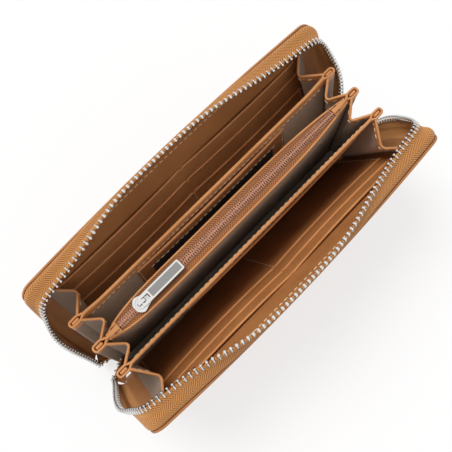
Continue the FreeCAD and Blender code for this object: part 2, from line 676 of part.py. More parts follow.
def main():
    os.makedirs("parts", exist_ok=True)
    pieces = all_pieces()
    for name, shape in pieces.items():
        shape.exportStep(f"parts/{name}.step")
        box = shape.BoundBox
        print(f"{name:36s} solids {len(shape.Solids):3d}  volume {shape.Volume:9.1f} mm3  "
              f"x {box.XMin:7.1f} {box.XMax:7.1f}  y {box.YMin:6.1f} {box.YMax:6.1f}  "
              f"z {box.ZMin:6.1f} {box.ZMax:6.1f}")
    print(len(pieces), "nodes")


main()
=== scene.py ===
# %% [markdown]
# # A zip-around wallet, dressed for the camera
# The construction of the wallet is loaded first, as a fixed frame of plain solids. The cells
# after that replace those solids with finished pieces: leather that is rolled and stitched,
# woven tape, metal teeth, a nylon coil. Each piece is placed by the sizes and joints of the
# solid that it stands for. Only the soft curls and leans are given one by one.
# %% Load the frame
import json
import math

import bmesh
import bpy
import numpy as np
from mathutils import Matrix, Vector

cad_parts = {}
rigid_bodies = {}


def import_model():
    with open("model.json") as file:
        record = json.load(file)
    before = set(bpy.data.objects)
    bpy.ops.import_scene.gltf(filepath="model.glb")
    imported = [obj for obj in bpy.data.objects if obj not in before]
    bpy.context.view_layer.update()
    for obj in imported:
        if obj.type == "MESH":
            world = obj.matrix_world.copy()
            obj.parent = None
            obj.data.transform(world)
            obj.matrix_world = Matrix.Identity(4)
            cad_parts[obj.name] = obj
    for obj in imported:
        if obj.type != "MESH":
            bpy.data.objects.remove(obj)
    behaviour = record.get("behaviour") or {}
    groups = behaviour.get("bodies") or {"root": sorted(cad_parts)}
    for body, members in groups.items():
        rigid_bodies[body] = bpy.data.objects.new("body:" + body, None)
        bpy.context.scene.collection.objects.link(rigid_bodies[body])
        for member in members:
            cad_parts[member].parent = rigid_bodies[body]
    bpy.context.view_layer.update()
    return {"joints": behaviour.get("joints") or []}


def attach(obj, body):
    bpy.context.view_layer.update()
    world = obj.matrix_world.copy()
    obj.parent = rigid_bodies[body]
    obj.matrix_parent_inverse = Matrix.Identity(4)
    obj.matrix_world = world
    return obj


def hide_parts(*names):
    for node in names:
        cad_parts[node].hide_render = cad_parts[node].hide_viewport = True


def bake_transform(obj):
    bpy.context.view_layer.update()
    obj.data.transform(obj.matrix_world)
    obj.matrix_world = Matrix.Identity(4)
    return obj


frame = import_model()
MM = 0.001
joints = {joint["name"]: joint for joint in frame["joints"]}

# %% [markdown]
# ## Sizes
# Blender works in metres, but a wallet is measured in millimetres, so sizes are written in
# millimetres and multiplied by MM where a point is made. The hinge lines come from the
# joints of the frame.
# %% Driving sizes of the wallet
COVER_HALF, COVER_TOP, COVER_CORNER = 104.0, 100.0, 8.0
COVER_OPEN = {"left": math.radians(22.5), "right": math.radians(25.5)}
LEATHER, BOARD, LINING = 1.2, 0.5, 0.4
SPINE_HALF_LENGTH = 96.0
DIVIDER_TILT = math.radians(9.1)
DIVIDER_TOP, DIVIDER_HALF_THICK = 79.0, 0.6
LOOP_TOP = 83.2
COIN_TOP, COIN_HALF_LENGTH = 82.3, 86.0
SIDES = {"left": 1, "right": -1}
ENDS = {"near": -1, "far": 1}
BOARD_FACE = LEATHER / 2
LINING_FACE = BOARD_FACE + BOARD
CARD_FACE = LINING_FACE + LINING


def hinge_of(name):
    """(y, z) of a hinge line in millimetres, on the left side."""
    place = joints[name]["pos_m"]
    return abs(place[1]) / MM, place[2] / MM


COVER_HINGE = hinge_of("left_cover_hinge")
DIVIDER_HINGE = hinge_of("left_divider_hinge")
print("cover hinge", COVER_HINGE, "divider hinge", DIVIDER_HINGE)


# %% [markdown]
# ## Two ways to place a point
# A cover is easiest to think about lying flat: along the wallet, up from the hinge, and deep
# into the wallet. One function stands that flat picture up on its hinge line. It also curls
# the upper edge inwards, most of all at the corners, and the short ends a little, because the
# zip pulls them in.
# %% Placing points on covers and dividers
CURL = {"left": (1.3, 4.0), "right": (-0.5, 4.0)}  # at the middle of the top, and more at its ends
CURL_FROM = 68.0  # height where the curl starts
END_CURL, END_CURL_FROM = (1.0, 5.0), 89.0  # of the near and the far short end, and where it starts


def at(x, y, z):
    """A point, given in millimetres."""
    return Vector((x, y, z)) * MM


def held(t):
    return min(max(t, 0.0), 1.0)


def smooth(t):
    """A soft step from 0 to 1."""
    t = held(t)
    return t * t * (3 - 2 * t)


def curl(side):
    middle, ends = CURL[side]

    def bend(along, up):
        top = middle + ends * (along / COVER_HALF) ** 2
        top *= smooth((up - CURL_FROM) / (COVER_TOP - CURL_FROM))
        reach = smooth((abs(along) - END_CURL_FROM) / (COVER_HALF - END_CURL_FROM))
        return top + END_CURL[int(along > 0)] * reach * math.sin(math.pi * held(up / COVER_TOP)) ** 1.5
    return bend


def standing(side, hinge, tilt, bend=None):
    """Maps (along, up, deep) of a flat leaf to its place in the wallet."""
    sign, sine, cosine = SIDES[side], math.sin(tilt), math.cos(tilt)

    def place(along, up, deep):
        deep += bend(along, up) if bend else 0.0
        across = hinge[0] + up * sine - deep * cosine
        return at(along, sign * across, hinge[1] + up * cosine + deep * sine)
    return place


ON_COVER = {side: standing(side, COVER_HINGE, COVER_OPEN[side], curl(side)) for side in SIDES}
ON_DIVIDER = {side: standing(side, DIVIDER_HINGE, DIVIDER_TILT) for side in SIDES}
print("top of the left cover:", ON_COVER["left"](0, COVER_TOP, 0))


# %% [markdown]
# ## Mesh helpers
# Three shapes make nearly everything here. A *slab* is a closed sheet between two matching
# grids of points. A *loft* joins rings of points into a closed solid. A *plate* is cut from
# flat outlines by a filled curve, which also handles holes. Each helper turns the faces
# outwards and marks only the real creases sharp.
# %% Mesh helpers
def tidy(mesh, crease=50):
    """Faces outwards, smooth shading, and creases kept sharp."""
    work = bmesh.new()
    work.from_mesh(mesh)
    bmesh.ops.remove_doubles(work, verts=work.verts, dist=1e-7)
    bmesh.ops.recalc_face_normals(work, faces=work.faces)
    work.to_mesh(mesh)
    work.free()
    mesh.shade_smooth()
    mesh.set_sharp_from_angle(angle=math.radians(crease))
    return mesh


def new_object(name, mesh, materials=()):
    for material in materials:
        mesh.materials.append(material)
    piece = bpy.data.objects.new(name, mesh)
    bpy.context.scene.collection.objects.link(piece)
    return piece


def solid(name, points, faces, materials, ids=None, cut=None, crease=50):
    """A piece from points and faces. cut gives each point its place on the flat cut piece."""
    mesh = bpy.data.meshes.new(name)
    mesh.from_pydata([tuple(p) for p in points], [], faces)
    if ids is not None:
        mesh.polygons.foreach_set("material_index", ids)
    if cut is not None:
        layer = mesh.uv_layers.new(name="cut")
        corners = np.zeros(len(mesh.loops), int)
        mesh.loops.foreach_get("vertex_index", corners)
        layer.data.foreach_set("uv", np.array(cut, float)[corners].ravel())
    return new_object(name, tidy(mesh, crease), materials)


def settle(piece):
    """Turns live modifiers into a plain mesh, with the place still in the mesh."""
    shape = bpy.data.meshes.new_from_object(piece.evaluated_get(bpy.context.evaluated_depsgraph_get()))
    piece.modifiers.clear()
    piece.data = shape
    return piece


def grid_faces(rows, columns, first, flip=False):
    quads = []
    for i in range(rows - 1):
        for k in range(columns - 1):
            a = first + i * columns + k
            quad = (a, a + 1, a + columns + 1, a + columns)
            quads.append(quad[::-1] if flip else quad)
    return quads


def sheet_faces(rows, columns):
    """Faces of two matching grids, one numbered after the other, and the walls between them."""
    half = rows * columns
    edge = list(range(columns)) + [i * columns + columns - 1 for i in range(1, rows)]
    edge += [half - 1 - k for k in range(1, columns)] + [i * columns for i in range(rows - 2, 0, -1)]
    walls = [(a, b, b + half, a + half) for a, b in zip(edge, edge[1:] + edge[:1])]
    return grid_faces(rows, columns, 0) + grid_faces(rows, columns, half, flip=True) + walls


def slab(name, front, back, materials, rim=0.3):
    """A closed sheet between two grids of points, its rim rounded by a bevel."""
    points = [p for row in front + back for p in row]
    piece = solid(name, points, sheet_faces(len(front), len(front[0])), materials)
    if rim:
        soft = piece.modifiers.new("rim", "BEVEL")
        soft.width, soft.segments, soft.limit_method = rim * MM, 2, "ANGLE"
        soft.angle_limit = math.radians(60)
        settle(piece)
    return piece


def loft(name, rings, materials, ids=None, cut=None, crease=50):
    """A closed solid through matching rings of points. ids names the material of each side."""
    count = len(rings[0])
    faces, tags = [], []
    for i in range(len(rings) - 1):
        for k in range(count):
            a, b = i * count + k, i * count + (k + 1) % count
            faces.append((a, b, b + count, a + count))
            tags.append(ids[k] if ids else 0)
    last = (len(rings) - 1) * count
    faces += [tuple(range(count))[::-1], tuple(range(last, last + count))]
    points = [p for ring in rings for p in ring]
    return solid(name, points, faces, materials, tags + [0, 0], cut, crease)


def joined(name, pieces):
    """Several objects made one, with their materials kept apart."""
    with bpy.context.temp_override(active_object=pieces[0], selected_editable_objects=pieces):
        bpy.ops.object.join()
    pieces[0].name = name
    return pieces[0]


def stencil(shape):
    """Hides a shape that is only there to be copied."""
    shape.hide_render = shape.hide_viewport = True
    return shape


def dress(piece, body, slot, *stands_for):
    """Rides a piece on its body, and hides the nodes it stands for. slot is not used."""
    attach(piece, body)
    if stands_for:
        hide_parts(*stands_for)
    return piece


def evenly(start, stop, count):
    return [start + (stop - start) * k / (count - 1) for k in range(count)]


# %% [markdown]
# ## Finishes
# A material is built from nodes. What more than one material needs is a node group: the
# leather's grain, and the chevrons of a woven zip tape. The groups only hand out values, and
# each material feeds them to its own shader.
# %% Node helpers
def socketed(name, inputs, outputs):
    """A new shader group with named sockets: {name: default} in, names out."""
    tree = bpy.data.node_groups.new(name, "ShaderNodeTree")
    for label, default in inputs.items():
        socket = tree.interface.new_socket(label, in_out="INPUT", socket_type="NodeSocketFloat")
        socket.default_value = default
    for label in outputs:
        tree.interface.new_socket(label, in_out="OUTPUT", socket_type="NodeSocketFloat")
    return tree, tree.nodes.new("NodeGroupInput"), tree.nodes.new("NodeGroupOutput")


def feed(tree, socket, value):
    """Links a socket, or sets it to a plain value."""
    if isinstance(value, bpy.types.NodeSocket):
        tree.links.new(value, socket)
    else:
        socket.default_value = value


def node(tree, kind, settings=None, **inputs):
    made = tree.nodes.new(kind)
    for key, value in (settings or {}).items():
        setattr(made, key, value)
    for key, value in inputs.items():
        feed(tree, made.inputs[key.replace("_", " ")], value)
    return made


def math_of(tree, operation, first, second=0.0):
    made = tree.nodes.new("ShaderNodeMath")
    made.operation = operation
    feed(tree, made.inputs[0], first)
    feed(tree, made.inputs[1], second)
    return made.outputs[0]


def times(tree, first, second):
    return math_of(tree, "MULTIPLY", first, second)


def own_place(tree):
    return node(tree, "ShaderNodeTexCoord").outputs["Object"]


def noise_of(tree, vector, scale, detail):
    return node(tree, "ShaderNodeTexNoise", Vector=vector, Scale=scale, Detail=detail).outputs["Fac"]


def scaled(tree, vector, factor):
    made = node(tree, "ShaderNodeVectorMath", {"operation": "SCALE"})
    feed(tree, made.inputs[0], vector)
    feed(tree, made.inputs["Scale"], factor)
    return made.outputs[0]


def band(tree, value, low, high, out_low=0.0, out_high=1.0):
    """Value taken from one range to another, and held inside it."""
    made = node(tree, "ShaderNodeMapRange", {"clamp": True}, Value=value)
    for key, level in (("From Min", low), ("From Max", high), ("To Min", out_low), ("To Max", out_high)):
        made.inputs[key].default_value = level
    return made.outputs[0]


# %% [markdown]
# The grain of smooth calf leather is shallow: cells under a millimetre, broken by fine
# creases, over slow patches where the dye took a little more or less.
# %% Leather grain group
def leather_grain():
    tree, given, result = socketed("leather_grain", {"Cell": 0.55}, ("Height", "Patch", "Crease"))
    place = own_place(tree)
    cells = scaled(tree, place, math_of(tree, "DIVIDE", 1 / MM, given.outputs["Cell"]))
    pebbles = node(tree, "ShaderNodeTexVoronoi", {"feature": "DISTANCE_TO_EDGE"}, Vector=cells, Scale=1.0)
    fine = noise_of(tree, cells, 1.7, 4.0)
    slow = noise_of(tree, scaled(tree, place, 1 / MM), 0.045, 3.0)
    crease = band(tree, pebbles.outputs["Distance"], 0.0, 0.18)
    feed(tree, result.inputs["Height"], math_of(tree, "ADD", crease, times(tree, fine, 0.6)))
    feed(tree, result.inputs["Patch"], band(tree, slow, 0.35, 0.65))
    feed(tree, result.inputs["Crease"], crease)
    return tree


GRAIN = leather_grain()


# %% [markdown]
# Zip tape is woven in chevrons. The tape's own coordinates, millimetres along and across,
# are in the UV map of each tape. Folding the across axis back and forth gives the zigzag,
# and a sine along it gives the ribs.
# %% Chevron group
def chevrons():
    tree, given, result = socketed("chevron_weave", {"Column": 3.7, "Rib": 1.3}, ("Rib", "Thread"))
    spots = node(tree, "ShaderNodeSeparateXYZ", Vector=node(tree, "ShaderNodeTexCoord").outputs["UV"])
    along, across = spots.outputs["X"], spots.outputs["Y"]
    turn = math_of(tree, "PINGPONG", across, given.outputs["Column"])
    sheared = math_of(tree, "ADD", along, times(tree, turn, 1.1))
    phase = math_of(tree, "DIVIDE", sheared, given.outputs["Rib"])
    rib = math_of(tree, "SINE", times(tree, phase, 2 * math.pi))
    twist = math_of(tree, "SINE", times(tree, math_of(tree, "SUBTRACT", turn, along), 9.0))
    feed(tree, result.inputs["Rib"], band(tree, rib, -1.0, 0.9))
    feed(tree, result.inputs["Thread"], band(tree, twist, -1.0, 1.0))
    return tree


CHEVRON = chevrons()


# %% Material maker
def finish(name, colour, roughness, **plain):
    """A material with a Principled shader. plain sets its sockets that are the same all over."""
    material = bpy.data.materials.new(name)
    material.use_nodes = True
    shader = material.node_tree.nodes["Principled BSDF"]
    shader.inputs["Base Color"].default_value = (*colour, 1)
    shader.inputs["Roughness"].default_value = roughness
    for key, value in plain.items():
        shader.inputs[key.replace("_", " ")].default_value = value
    return material, material.node_tree, shader


def group_in(tree, group, **inputs):
    made = tree.nodes.new("ShaderNodeGroup")
    made.node_tree = group
    for key, value in inputs.items():
        feed(tree, made.inputs[key], value)
    return made.outputs


def blend_colours(tree, share, first, second):
    made = node(tree, "ShaderNodeMix", {"data_type": "RGBA"})
    feed(tree, made.inputs["Factor"], share)
    sockets = [socket for socket in made.inputs if socket.type == "RGBA"]
    for socket, colour in zip(sockets, (first, second)):
        feed(tree, socket, colour if isinstance(colour, bpy.types.NodeSocket) else (*colour, 1))
    return [s for s in made.outputs if s.type == "RGBA"][0]


def tinted(tree, shader, share, dark, light):
    feed(tree, shader.inputs["Base Color"], blend_colours(tree, share, dark, light))


def bumped(tree, shader, height, depth):
    made = node(tree, "ShaderNodeBump", Strength=1.0, Distance=depth * MM)
    feed(tree, made.inputs["Height"], height)
    tree.links.new(made.outputs["Normal"], shader.inputs["Normal"])


# %% [markdown]
# ### Leathers
# One recipe serves all the leathers of the wallet. Rolled edges get a lighter colour, a painted
# highlight where they catch the light, and are a little glossier than the flat skins.
# %% Leathers
def leather(name, light, dark, roughness, cell, depth):
    material, tree, shader = finish(name, light, roughness, Specular_IOR_Level=0.42)
    grain = group_in(tree, GRAIN, Cell=cell)
    share = times(tree, grain["Patch"], band(tree, grain["Crease"], 0, 1, 0.55, 1.0))
    tinted(tree, shader, share, dark, light)
    feed(tree, shader.inputs["Roughness"], band(tree, grain["Crease"], 0, 1, roughness + 0.12, roughness))
    bumped(tree, shader, grain["Height"], depth)
    return material


SHELL_LEATHER = leather("shell_leather", (0.560, 0.245, 0.085), (0.460, 0.190, 0.062), 0.42, 0.8, 0.07)
LINING_LEATHER = leather("lining_leather", (0.480, 0.204, 0.069), (0.390, 0.158, 0.050), 0.50, 0.5, 0.04)
# painted highlight: rolled rims, beads and tabs get a lighter leather colour where light catches them
HIGHLIT_RIM_LEATHER = leather("highlit_rim_leather", (0.700, 0.330, 0.130), (0.590, 0.255, 0.090), 0.40, 0.45, 0.03)
print("leathers:", SHELL_LEATHER.name, LINING_LEATHER.name, HIGHLIT_RIM_LEATHER.name)


# %% [markdown]
# ### Woven and plain finishes
# The taupe lining is a fine twill, drawn by two crossing sines on the object's coordinates.
# Zip tape uses the chevron group. Metal has faint polishing marks, so that it isn't a mirror, and painted
# shade on the faces that look sideways and down.
# %% Fabric, tape, metal and thread
def lining_fabric(name, light, dark, thread=0.45):
    material, tree, shader = finish(name, light, 0.85, Specular_IOR_Level=0.25, Sheen_Weight=0.15)
    place = own_place(tree)
    spots = node(tree, "ShaderNodeSeparateXYZ", Vector=scaled(tree, place, 2 * math.pi / (thread * MM)))
    rising = math_of(tree, "ADD", spots.outputs["X"], spots.outputs["Z"])
    falling = math_of(tree, "SUBTRACT", spots.outputs["X"], spots.outputs["Z"])
    weft = math_of(tree, "SINE", math_of(tree, "ADD", rising, spots.outputs["Y"]))
    warp = math_of(tree, "SINE", times(tree, falling, 0.5))
    weave = times(tree, band(tree, weft, -1, 1), band(tree, warp, -1, 1, 0.6, 1.0))
    clouds = noise_of(tree, scaled(tree, place, 1 / MM), 0.12, 3.0)
    share = times(tree, band(tree, weave, 0, 1, 0.55, 1.0), band(tree, clouds, 0.3, 0.7, 0.7, 1.0))
    tinted(tree, shader, share, dark, light)
    bumped(tree, shader, weave, 0.06)
    return material


def woven_tape(name, light, dark, column, rib):
    material, tree, shader = finish(name, light, 0.62, Specular_IOR_Level=0.35, Sheen_Weight=0.1)
    weave = group_in(tree, CHEVRON, Column=column, Rib=rib)
    share = times(tree, weave["Rib"], band(tree, weave["Thread"], 0, 1, 0.75, 1.0))
    tinted(tree, shader, share, dark, light)
    height = math_of(tree, "ADD", weave["Rib"], times(tree, weave["Thread"], 0.3))
    bumped(tree, shader, height, 0.12)
    return material


def brushed_metal(name, colour, roughness):
    """Plated metal. The faces that look up keep the full colour, and faces that look sideways and down
    are darkened as painted shade and reflection, so the facets of a small tooth can be told apart in a plain
    white room."""
    material, tree, shader = finish(name, colour, roughness, Metallic=1.0)
    place = own_place(tree)
    pointing = node(tree, "ShaderNodeTexCoord").outputs["Normal"]
    upwards = node(tree, "ShaderNodeSeparateXYZ", Vector=pointing).outputs["Z"]
    # painted shade and reflection: the colour falls to 0.42 of itself on faces that look sideways and down
    tinted(tree, shader, band(tree, upwards, 0.25, 1.0), [share * 0.42 for share in colour], colour)
    marks = noise_of(tree, scaled(tree, place, 1 / MM), 1.6, 5.0)
    feed(tree, shader.inputs["Roughness"], band(tree, marks, 0.3, 0.7, roughness * 0.7, roughness * 1.5))
    bumped(tree, shader, marks, 0.02)
    return material


def fibre(name, light, dark, roughness, size):
    """Thread and nylon: a plain colour broken by fine lengthwise noise."""
    material, tree, shader = finish(name, light, roughness)
    place = own_place(tree)
    noise = noise_of(tree, scaled(tree, place, 1 / (size * MM)), 1.0, 2.0)
    tinted(tree, shader, band(tree, noise, 0.35, 0.65), dark, light)
    bumped(tree, shader, noise, 0.03)
    return material


TAUPE = lining_fabric("taupe_lining", (0.700, 0.550, 0.430), (0.500, 0.385, 0.297))
GUSSET_CLOTH = lining_fabric("gusset_cloth", (0.340, 0.235, 0.165), (0.240, 0.160, 0.112), 0.4)
ZIP_TAPE = woven_tape("zip_tape", (0.740, 0.355, 0.115), (0.300, 0.108, 0.026), 3.7, 1.3)
COIN_TAPE = woven_tape("coin_tape", (0.540, 0.225, 0.085), (0.150, 0.048, 0.018), 1.6, 1.4)
METAL = brushed_metal("zip_metal", (0.800, 0.790, 0.770), 0.18)
# darker metal for the pull's recessed plate: patina, deepened with painted shade and reflection
RECESS_PATINA_AND_SHADE = brushed_metal("recess_patina_and_shade_metal", (0.330, 0.326, 0.317), 0.32)
THREAD = fibre("cream_thread", (0.900, 0.760, 0.520), (0.760, 0.590, 0.350), 0.7, 0.2)
NYLON = fibre("nylon_coil", (0.760, 0.400, 0.240), (0.290, 0.120, 0.080), 0.38, 0.6)
BROWN_THREAD = fibre("brown_thread", (0.160, 0.070, 0.030), (0.080, 0.030, 0.012), 0.8, 0.2)
WINDOW = fibre("window_film", (0.024, 0.013, 0.020), (0.015, 0.009, 0.013), 0.3, 6.0)
print("finishes:", len(bpy.data.materials))


# %% [markdown]
# ## Stitches
# Saddle stitches repeat, so Geometry Nodes set them. A row is a line of points; the tree
# walks along it at the stitch pitch and puts one small thread at each step. The thread is
# thick in the middle and thin at its ends, so that it dips into the leather by itself.
# %% Stitch tree
STITCH_PITCH, STITCH_LENGTH, STITCH_HALF_WIDTH = 3.5, 2.5, 0.31


def thread_shape():
    """One stitch along z: six-sided rings that narrow to the ends."""
    rings, half = [], STITCH_LENGTH / 2
    for height, girth in ((-1, 0.25), (-0.8, 0.75), (-0.35, 1.0), (0.35, 1.0), (0.8, 0.75), (1, 0.25)):
        turns = [2 * math.pi * k / 6 for k in range(6)]
        wide = girth * STITCH_HALF_WIDTH
        rings.append([at(math.cos(t) * wide, math.sin(t) * wide, height * half) for t in turns])
    return stencil(loft("stitch_shape", rings, []))


def new_tree(name, inputs):
    """A Geometry Nodes tree with a Geometry socket each way and the named inputs."""
    tree = bpy.data.node_groups.new(name, "GeometryNodeTree")
    tree.interface.new_socket("Geometry", in_out="INPUT", socket_type="NodeSocketGeometry")
    tree.interface.new_socket("Geometry", in_out="OUTPUT", socket_type="NodeSocketGeometry")
    for label, kind in inputs.items():
        tree.interface.new_socket(label, in_out="INPUT", socket_type=kind)
    return tree, tree.nodes.new("NodeGroupInput"), tree.nodes.new("NodeGroupOutput")


def chain(tree, *steps):
    """Links each node's first output to the next node's first input."""
    for first, second in zip(steps, steps[1:]):
        tree.links.new(first.outputs[0], second.inputs[0])


def copies(tree, given):
    """The node that puts a copy of the given Shape at each of its points."""
    shape = tree.nodes.new("GeometryNodeObjectInfo")
    placed = tree.nodes.new("GeometryNodeInstanceOnPoints")
    tree.links.new(given.outputs["Shape"], shape.inputs["Object"])
    tree.links.new(shape.outputs["Geometry"], placed.inputs["Instance"])
    return placed


def closing(tree, given, placed, result):
    """Ends a tree: instances made real, with one material."""
    real = tree.nodes.new("GeometryNodeRealizeInstances")
    painted = tree.nodes.new("GeometryNodeSetMaterial")
    tree.links.new(given.outputs["Material"], painted.inputs["Material"])
    chain(tree, placed, real, painted, result)


def stitch_tree():
    tree, given, result = new_tree("sewn_row", {
        "Pitch": "NodeSocketFloat", "Shape": "NodeSocketObject", "Seed": "NodeSocketInt",
        "Material": "NodeSocketMaterial"})
    line = tree.nodes.new("GeometryNodeMeshToCurve")
    steps = tree.nodes.new("GeometryNodeCurveToPoints")
    steps.mode = "LENGTH"
    placed = copies(tree, given)
    size = tree.nodes.new("FunctionNodeRandomValue")
    size.data_type = "FLOAT_VECTOR"
    chain(tree, given, line, steps, placed)
    tree.links.new(given.outputs["Pitch"], steps.inputs["Length"])
    tree.links.new(steps.outputs["Rotation"], placed.inputs["Rotation"])
    tree.links.new(given.outputs["Seed"], size.inputs["Seed"])
    size.inputs["Min"].default_value, size.inputs["Max"].default_value = (0.9, 0.9, 0.86), (1.1, 1.1, 1.06)
    tree.links.new(size.outputs["Value"], placed.inputs["Scale"])
    closing(tree, given, placed, result)
    return tree


STITCH, SEWN_ROW = thread_shape(), stitch_tree()


def grown(piece, tree, **values):
    """Runs a tree on an object, with its inputs set by identifier, and keeps the plain mesh."""
    live = piece.modifiers.new(tree.name, "NODES")
    live.node_group = tree
    for item in tree.interface.items_tree:
        if item.in_out == "INPUT" and item.name in values:
            live[item.identifier] = values[item.name]
    return settle(piece)


def stitches(name, rows, body, seed, pitch=STITCH_PITCH, thread=THREAD):
    """Sews rows of points, given as lists of places, and rides them on a body."""
    points, edges = [], []
    for row in rows:
        first = len(points)
        points += [tuple(p) for p in row]
        edges += [(first + k, first + k + 1) for k in range(len(row) - 1)]
    mesh = bpy.data.meshes.new(name)
    mesh.from_pydata(points, edges, [])
    piece = new_object(name, mesh)
    grown(piece, SEWN_ROW, Pitch=pitch * MM, Shape=STITCH, Seed=seed, Material=thread)
    tidy(piece.data)
    return dress(piece, body, "lining_leather")


print("stitch:", len(STITCH.data.polygons), "faces")

# %% [markdown]
# ## Cover leather
# The outside of the real wallet is one skin that runs up one cover, round the spine and up
# the other. Here it is two skins that meet in the middle of the spine. Each follows its
# cover's hinge with a soft bend instead of a crack.
# %% Cover skins
SPINE_ROWS, BEND_ROWS, COVER_ROWS, SKIN_COLUMNS = 4, 8, 26, 60
SPINE_EDGE_UP = 14.0  # the skin widens from the spine to the cover over this height
BEND_UP = 3.2  # where the bend round the spine's edge ends, up the cover
BEND_FROM, BEND_HANDLE = 3.2, 2.6  # where that bend starts, inside the hinge, and its handles' length
EDGE_TRIM = 0.7  # the skin's raw edge is pared back this far


def leaf_reach(up, inset):
    """Half length, at a height, of a cover's shape drawn in by an inset."""
    half, rise, corner = COVER_HALF - inset, up - (COVER_TOP - COVER_CORNER), COVER_CORNER - inset
    return half if rise <= 0 else half - corner + math.sqrt(max(corner ** 2 - rise ** 2, 0))


def skin_half_length(up):
    """Half length of the skin at a height: it is narrower at the spine."""
    widened = smooth(up / SPINE_EDGE_UP)
    return SPINE_HALF_LENGTH + (leaf_reach(up, EDGE_TRIM) - SPINE_HALF_LENGTH) * widened


def cover_heights(inset, rows, start):
    """Heights of the rows of a cover: even on the straight part, closer round the corners."""
    straight, low, corner = rows * 2 // 3, COVER_TOP - COVER_CORNER, COVER_CORNER - inset
    turns = evenly(0, math.pi / 2, rows - straight)
    return evenly(start, low, straight)[:-1] + [low + corner * math.sin(t) for t in turns]


def share_columns(count):
    """Shares of a half length from -1 to 1, closer together towards both ends."""
    return [math.sin(math.pi / 2 * u) * 0.25 + 0.75 * u for u in evenly(-1, 1, count)]


def cover_skin(side):
    place, sign = ON_COVER[side], SIDES[side]
    columns = share_columns(SKIN_COLUMNS)
    tilt = COVER_OPEN[side]
    outer, inner = [], []
    # the spine's half, flat on the floor, then a bend with the leather's thickness kept
    flat_end = COVER_HINGE[0] - BEND_FROM
    line = [Vector((y, 0.0)) for y in evenly(0, flat_end, SPINE_ROWS)]
    start, end = Vector((flat_end, 0.0)), place(0, BEND_UP, -LEATHER / 2) / MM
    end = Vector((abs(end.y), end.z))
    lean = Vector((math.sin(tilt), math.cos(tilt)))
    controls = (start, start + Vector((BEND_HANDLE, 0)), end - lean * BEND_HANDLE, end)
    for k in range(1, BEND_ROWS):
        t = k / BEND_ROWS
        weights = ((1 - t) ** 3, 3 * t * (1 - t) ** 2, 3 * t * t * (1 - t), t ** 3)
        line.append(sum((c * w for c, w in zip(controls, weights)), Vector((0, 0))))
    for k, p in enumerate(line):
        ahead = (line[k + 1] if k + 1 < len(line) else end) - (line[k - 1] if k else Vector((-1, 0)))
        q = p + Vector((-ahead.y, ahead.x)).normalized() * LEATHER
        outer.append([at(u * SPINE_HALF_LENGTH, sign * p.x, p.y) for u in columns])
        inner.append([at(u * SPINE_HALF_LENGTH, sign * q.x, q.y) for u in columns])
    for up in cover_heights(EDGE_TRIM, COVER_ROWS, BEND_UP):
        half = skin_half_length(up)
        outer.append([place(u * half, up, -LEATHER / 2) for u in columns])
        inner.append([place(u * half, up, LEATHER / 2) for u in columns])
    skin = slab(f"{side}_cover_skin", outer, inner, [SHELL_LEATHER], rim=0.35)
    body, hinge = f"{side}_cover", Vector(joints[f"{side}_cover_hinge"]["pos_m"])
    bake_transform(skin)
    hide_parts(f"{side}_cover_leather", "spine_leather")
    return skin


skins = [cover_skin(side) for side in SIDES]
print("cover skins:", [len(skin.data.polygons) for skin in skins])

# %% [markdown]
# ## The long zip
# The zip is sewn between the cover and its lining, 2 mm in from the edge. From the foot at
# the spine its tape runs up the short end, round the corner and along the top. At each place
# it leans in by its own angle. The section below starts flat under the lining and curls
# up to that angle, and its edge ends in the cord that the teeth are crimped on.
# %% Path and section of the tape
SEWN_INSET, TAPE_MARGIN, TAPE_THICK = 2.0, 5.0, 0.5
TAPE_WIDTH, TAPE_FOOT_WIDTH, TAPE_FOOT, TAPE_WIDEN = 11.4, 7.6, 8.0, 50.0
LEAN_FOOT, LEAN_CORNER = 70.0, 106.0  # degrees, from straight on out of the cover's edge
LEAN_END = {"left": (61.0, 58.0), "right": (52.0, 58.0)}  # up the near short end and the far one
LEAN_TOP, LEAN_TOP_REACH = {"left": 42.0, "right": 24.0}, (0.72, 0.9)
SEWN_HALF, SEWN_TOP = COVER_HALF - SEWN_INSET, COVER_TOP - SEWN_INSET
SEWN_RADIUS = COVER_CORNER - SEWN_INSET
SIDE_RUN = SEWN_TOP - SEWN_RADIUS - TAPE_FOOT
CORNER_RUN = math.pi / 2 * SEWN_RADIUS
ZIP_RUN = 2 * (SIDE_RUN + CORNER_RUN + SEWN_HALF - SEWN_RADIUS)


def sewn_place(s):
    """(along, up) of the sewn line and its outward direction, s mm from the near foot."""
    if s > ZIP_RUN / 2:
        (along, up), (out_along, out_up) = sewn_place(ZIP_RUN - s)
        return (-along, up), (-out_along, out_up)
    if s <= SIDE_RUN:
        return (-SEWN_HALF, TAPE_FOOT + s), (-1, 0)
    if s <= SIDE_RUN + CORNER_RUN:
        turn = (s - SIDE_RUN) / SEWN_RADIUS
        out = (-math.cos(turn), math.sin(turn))
        along, up = -SEWN_HALF + SEWN_RADIUS, SEWN_TOP - SEWN_RADIUS
        return (along + out[0] * SEWN_RADIUS, up + out[1] * SEWN_RADIUS), out
    return (-SEWN_HALF + SEWN_RADIUS + s - SIDE_RUN - CORNER_RUN, SEWN_TOP), (0, 1)


def tape_lean(s, side):
    """The lean at a station: from the foot's to the short end's, the corner's and the top's."""
    u, corner, far = min(s, ZIP_RUN - s), SIDE_RUN + CORNER_RUN / 2, s > ZIP_RUN / 2
    end, top_run = LEAN_END[side][far], LEAN_TOP_REACH[far] * (ZIP_RUN / 2 - corner)
    lean = LEAN_FOOT + (end - LEAN_FOOT) * smooth(u / (0.4 * SIDE_RUN))
    lean += (LEAN_CORNER - end) * smooth((u - 0.55 * corner) / (0.45 * corner))
    lean += (LEAN_TOP[side] - LEAN_CORNER) * smooth((u - corner) / top_run)
    return math.radians(lean)


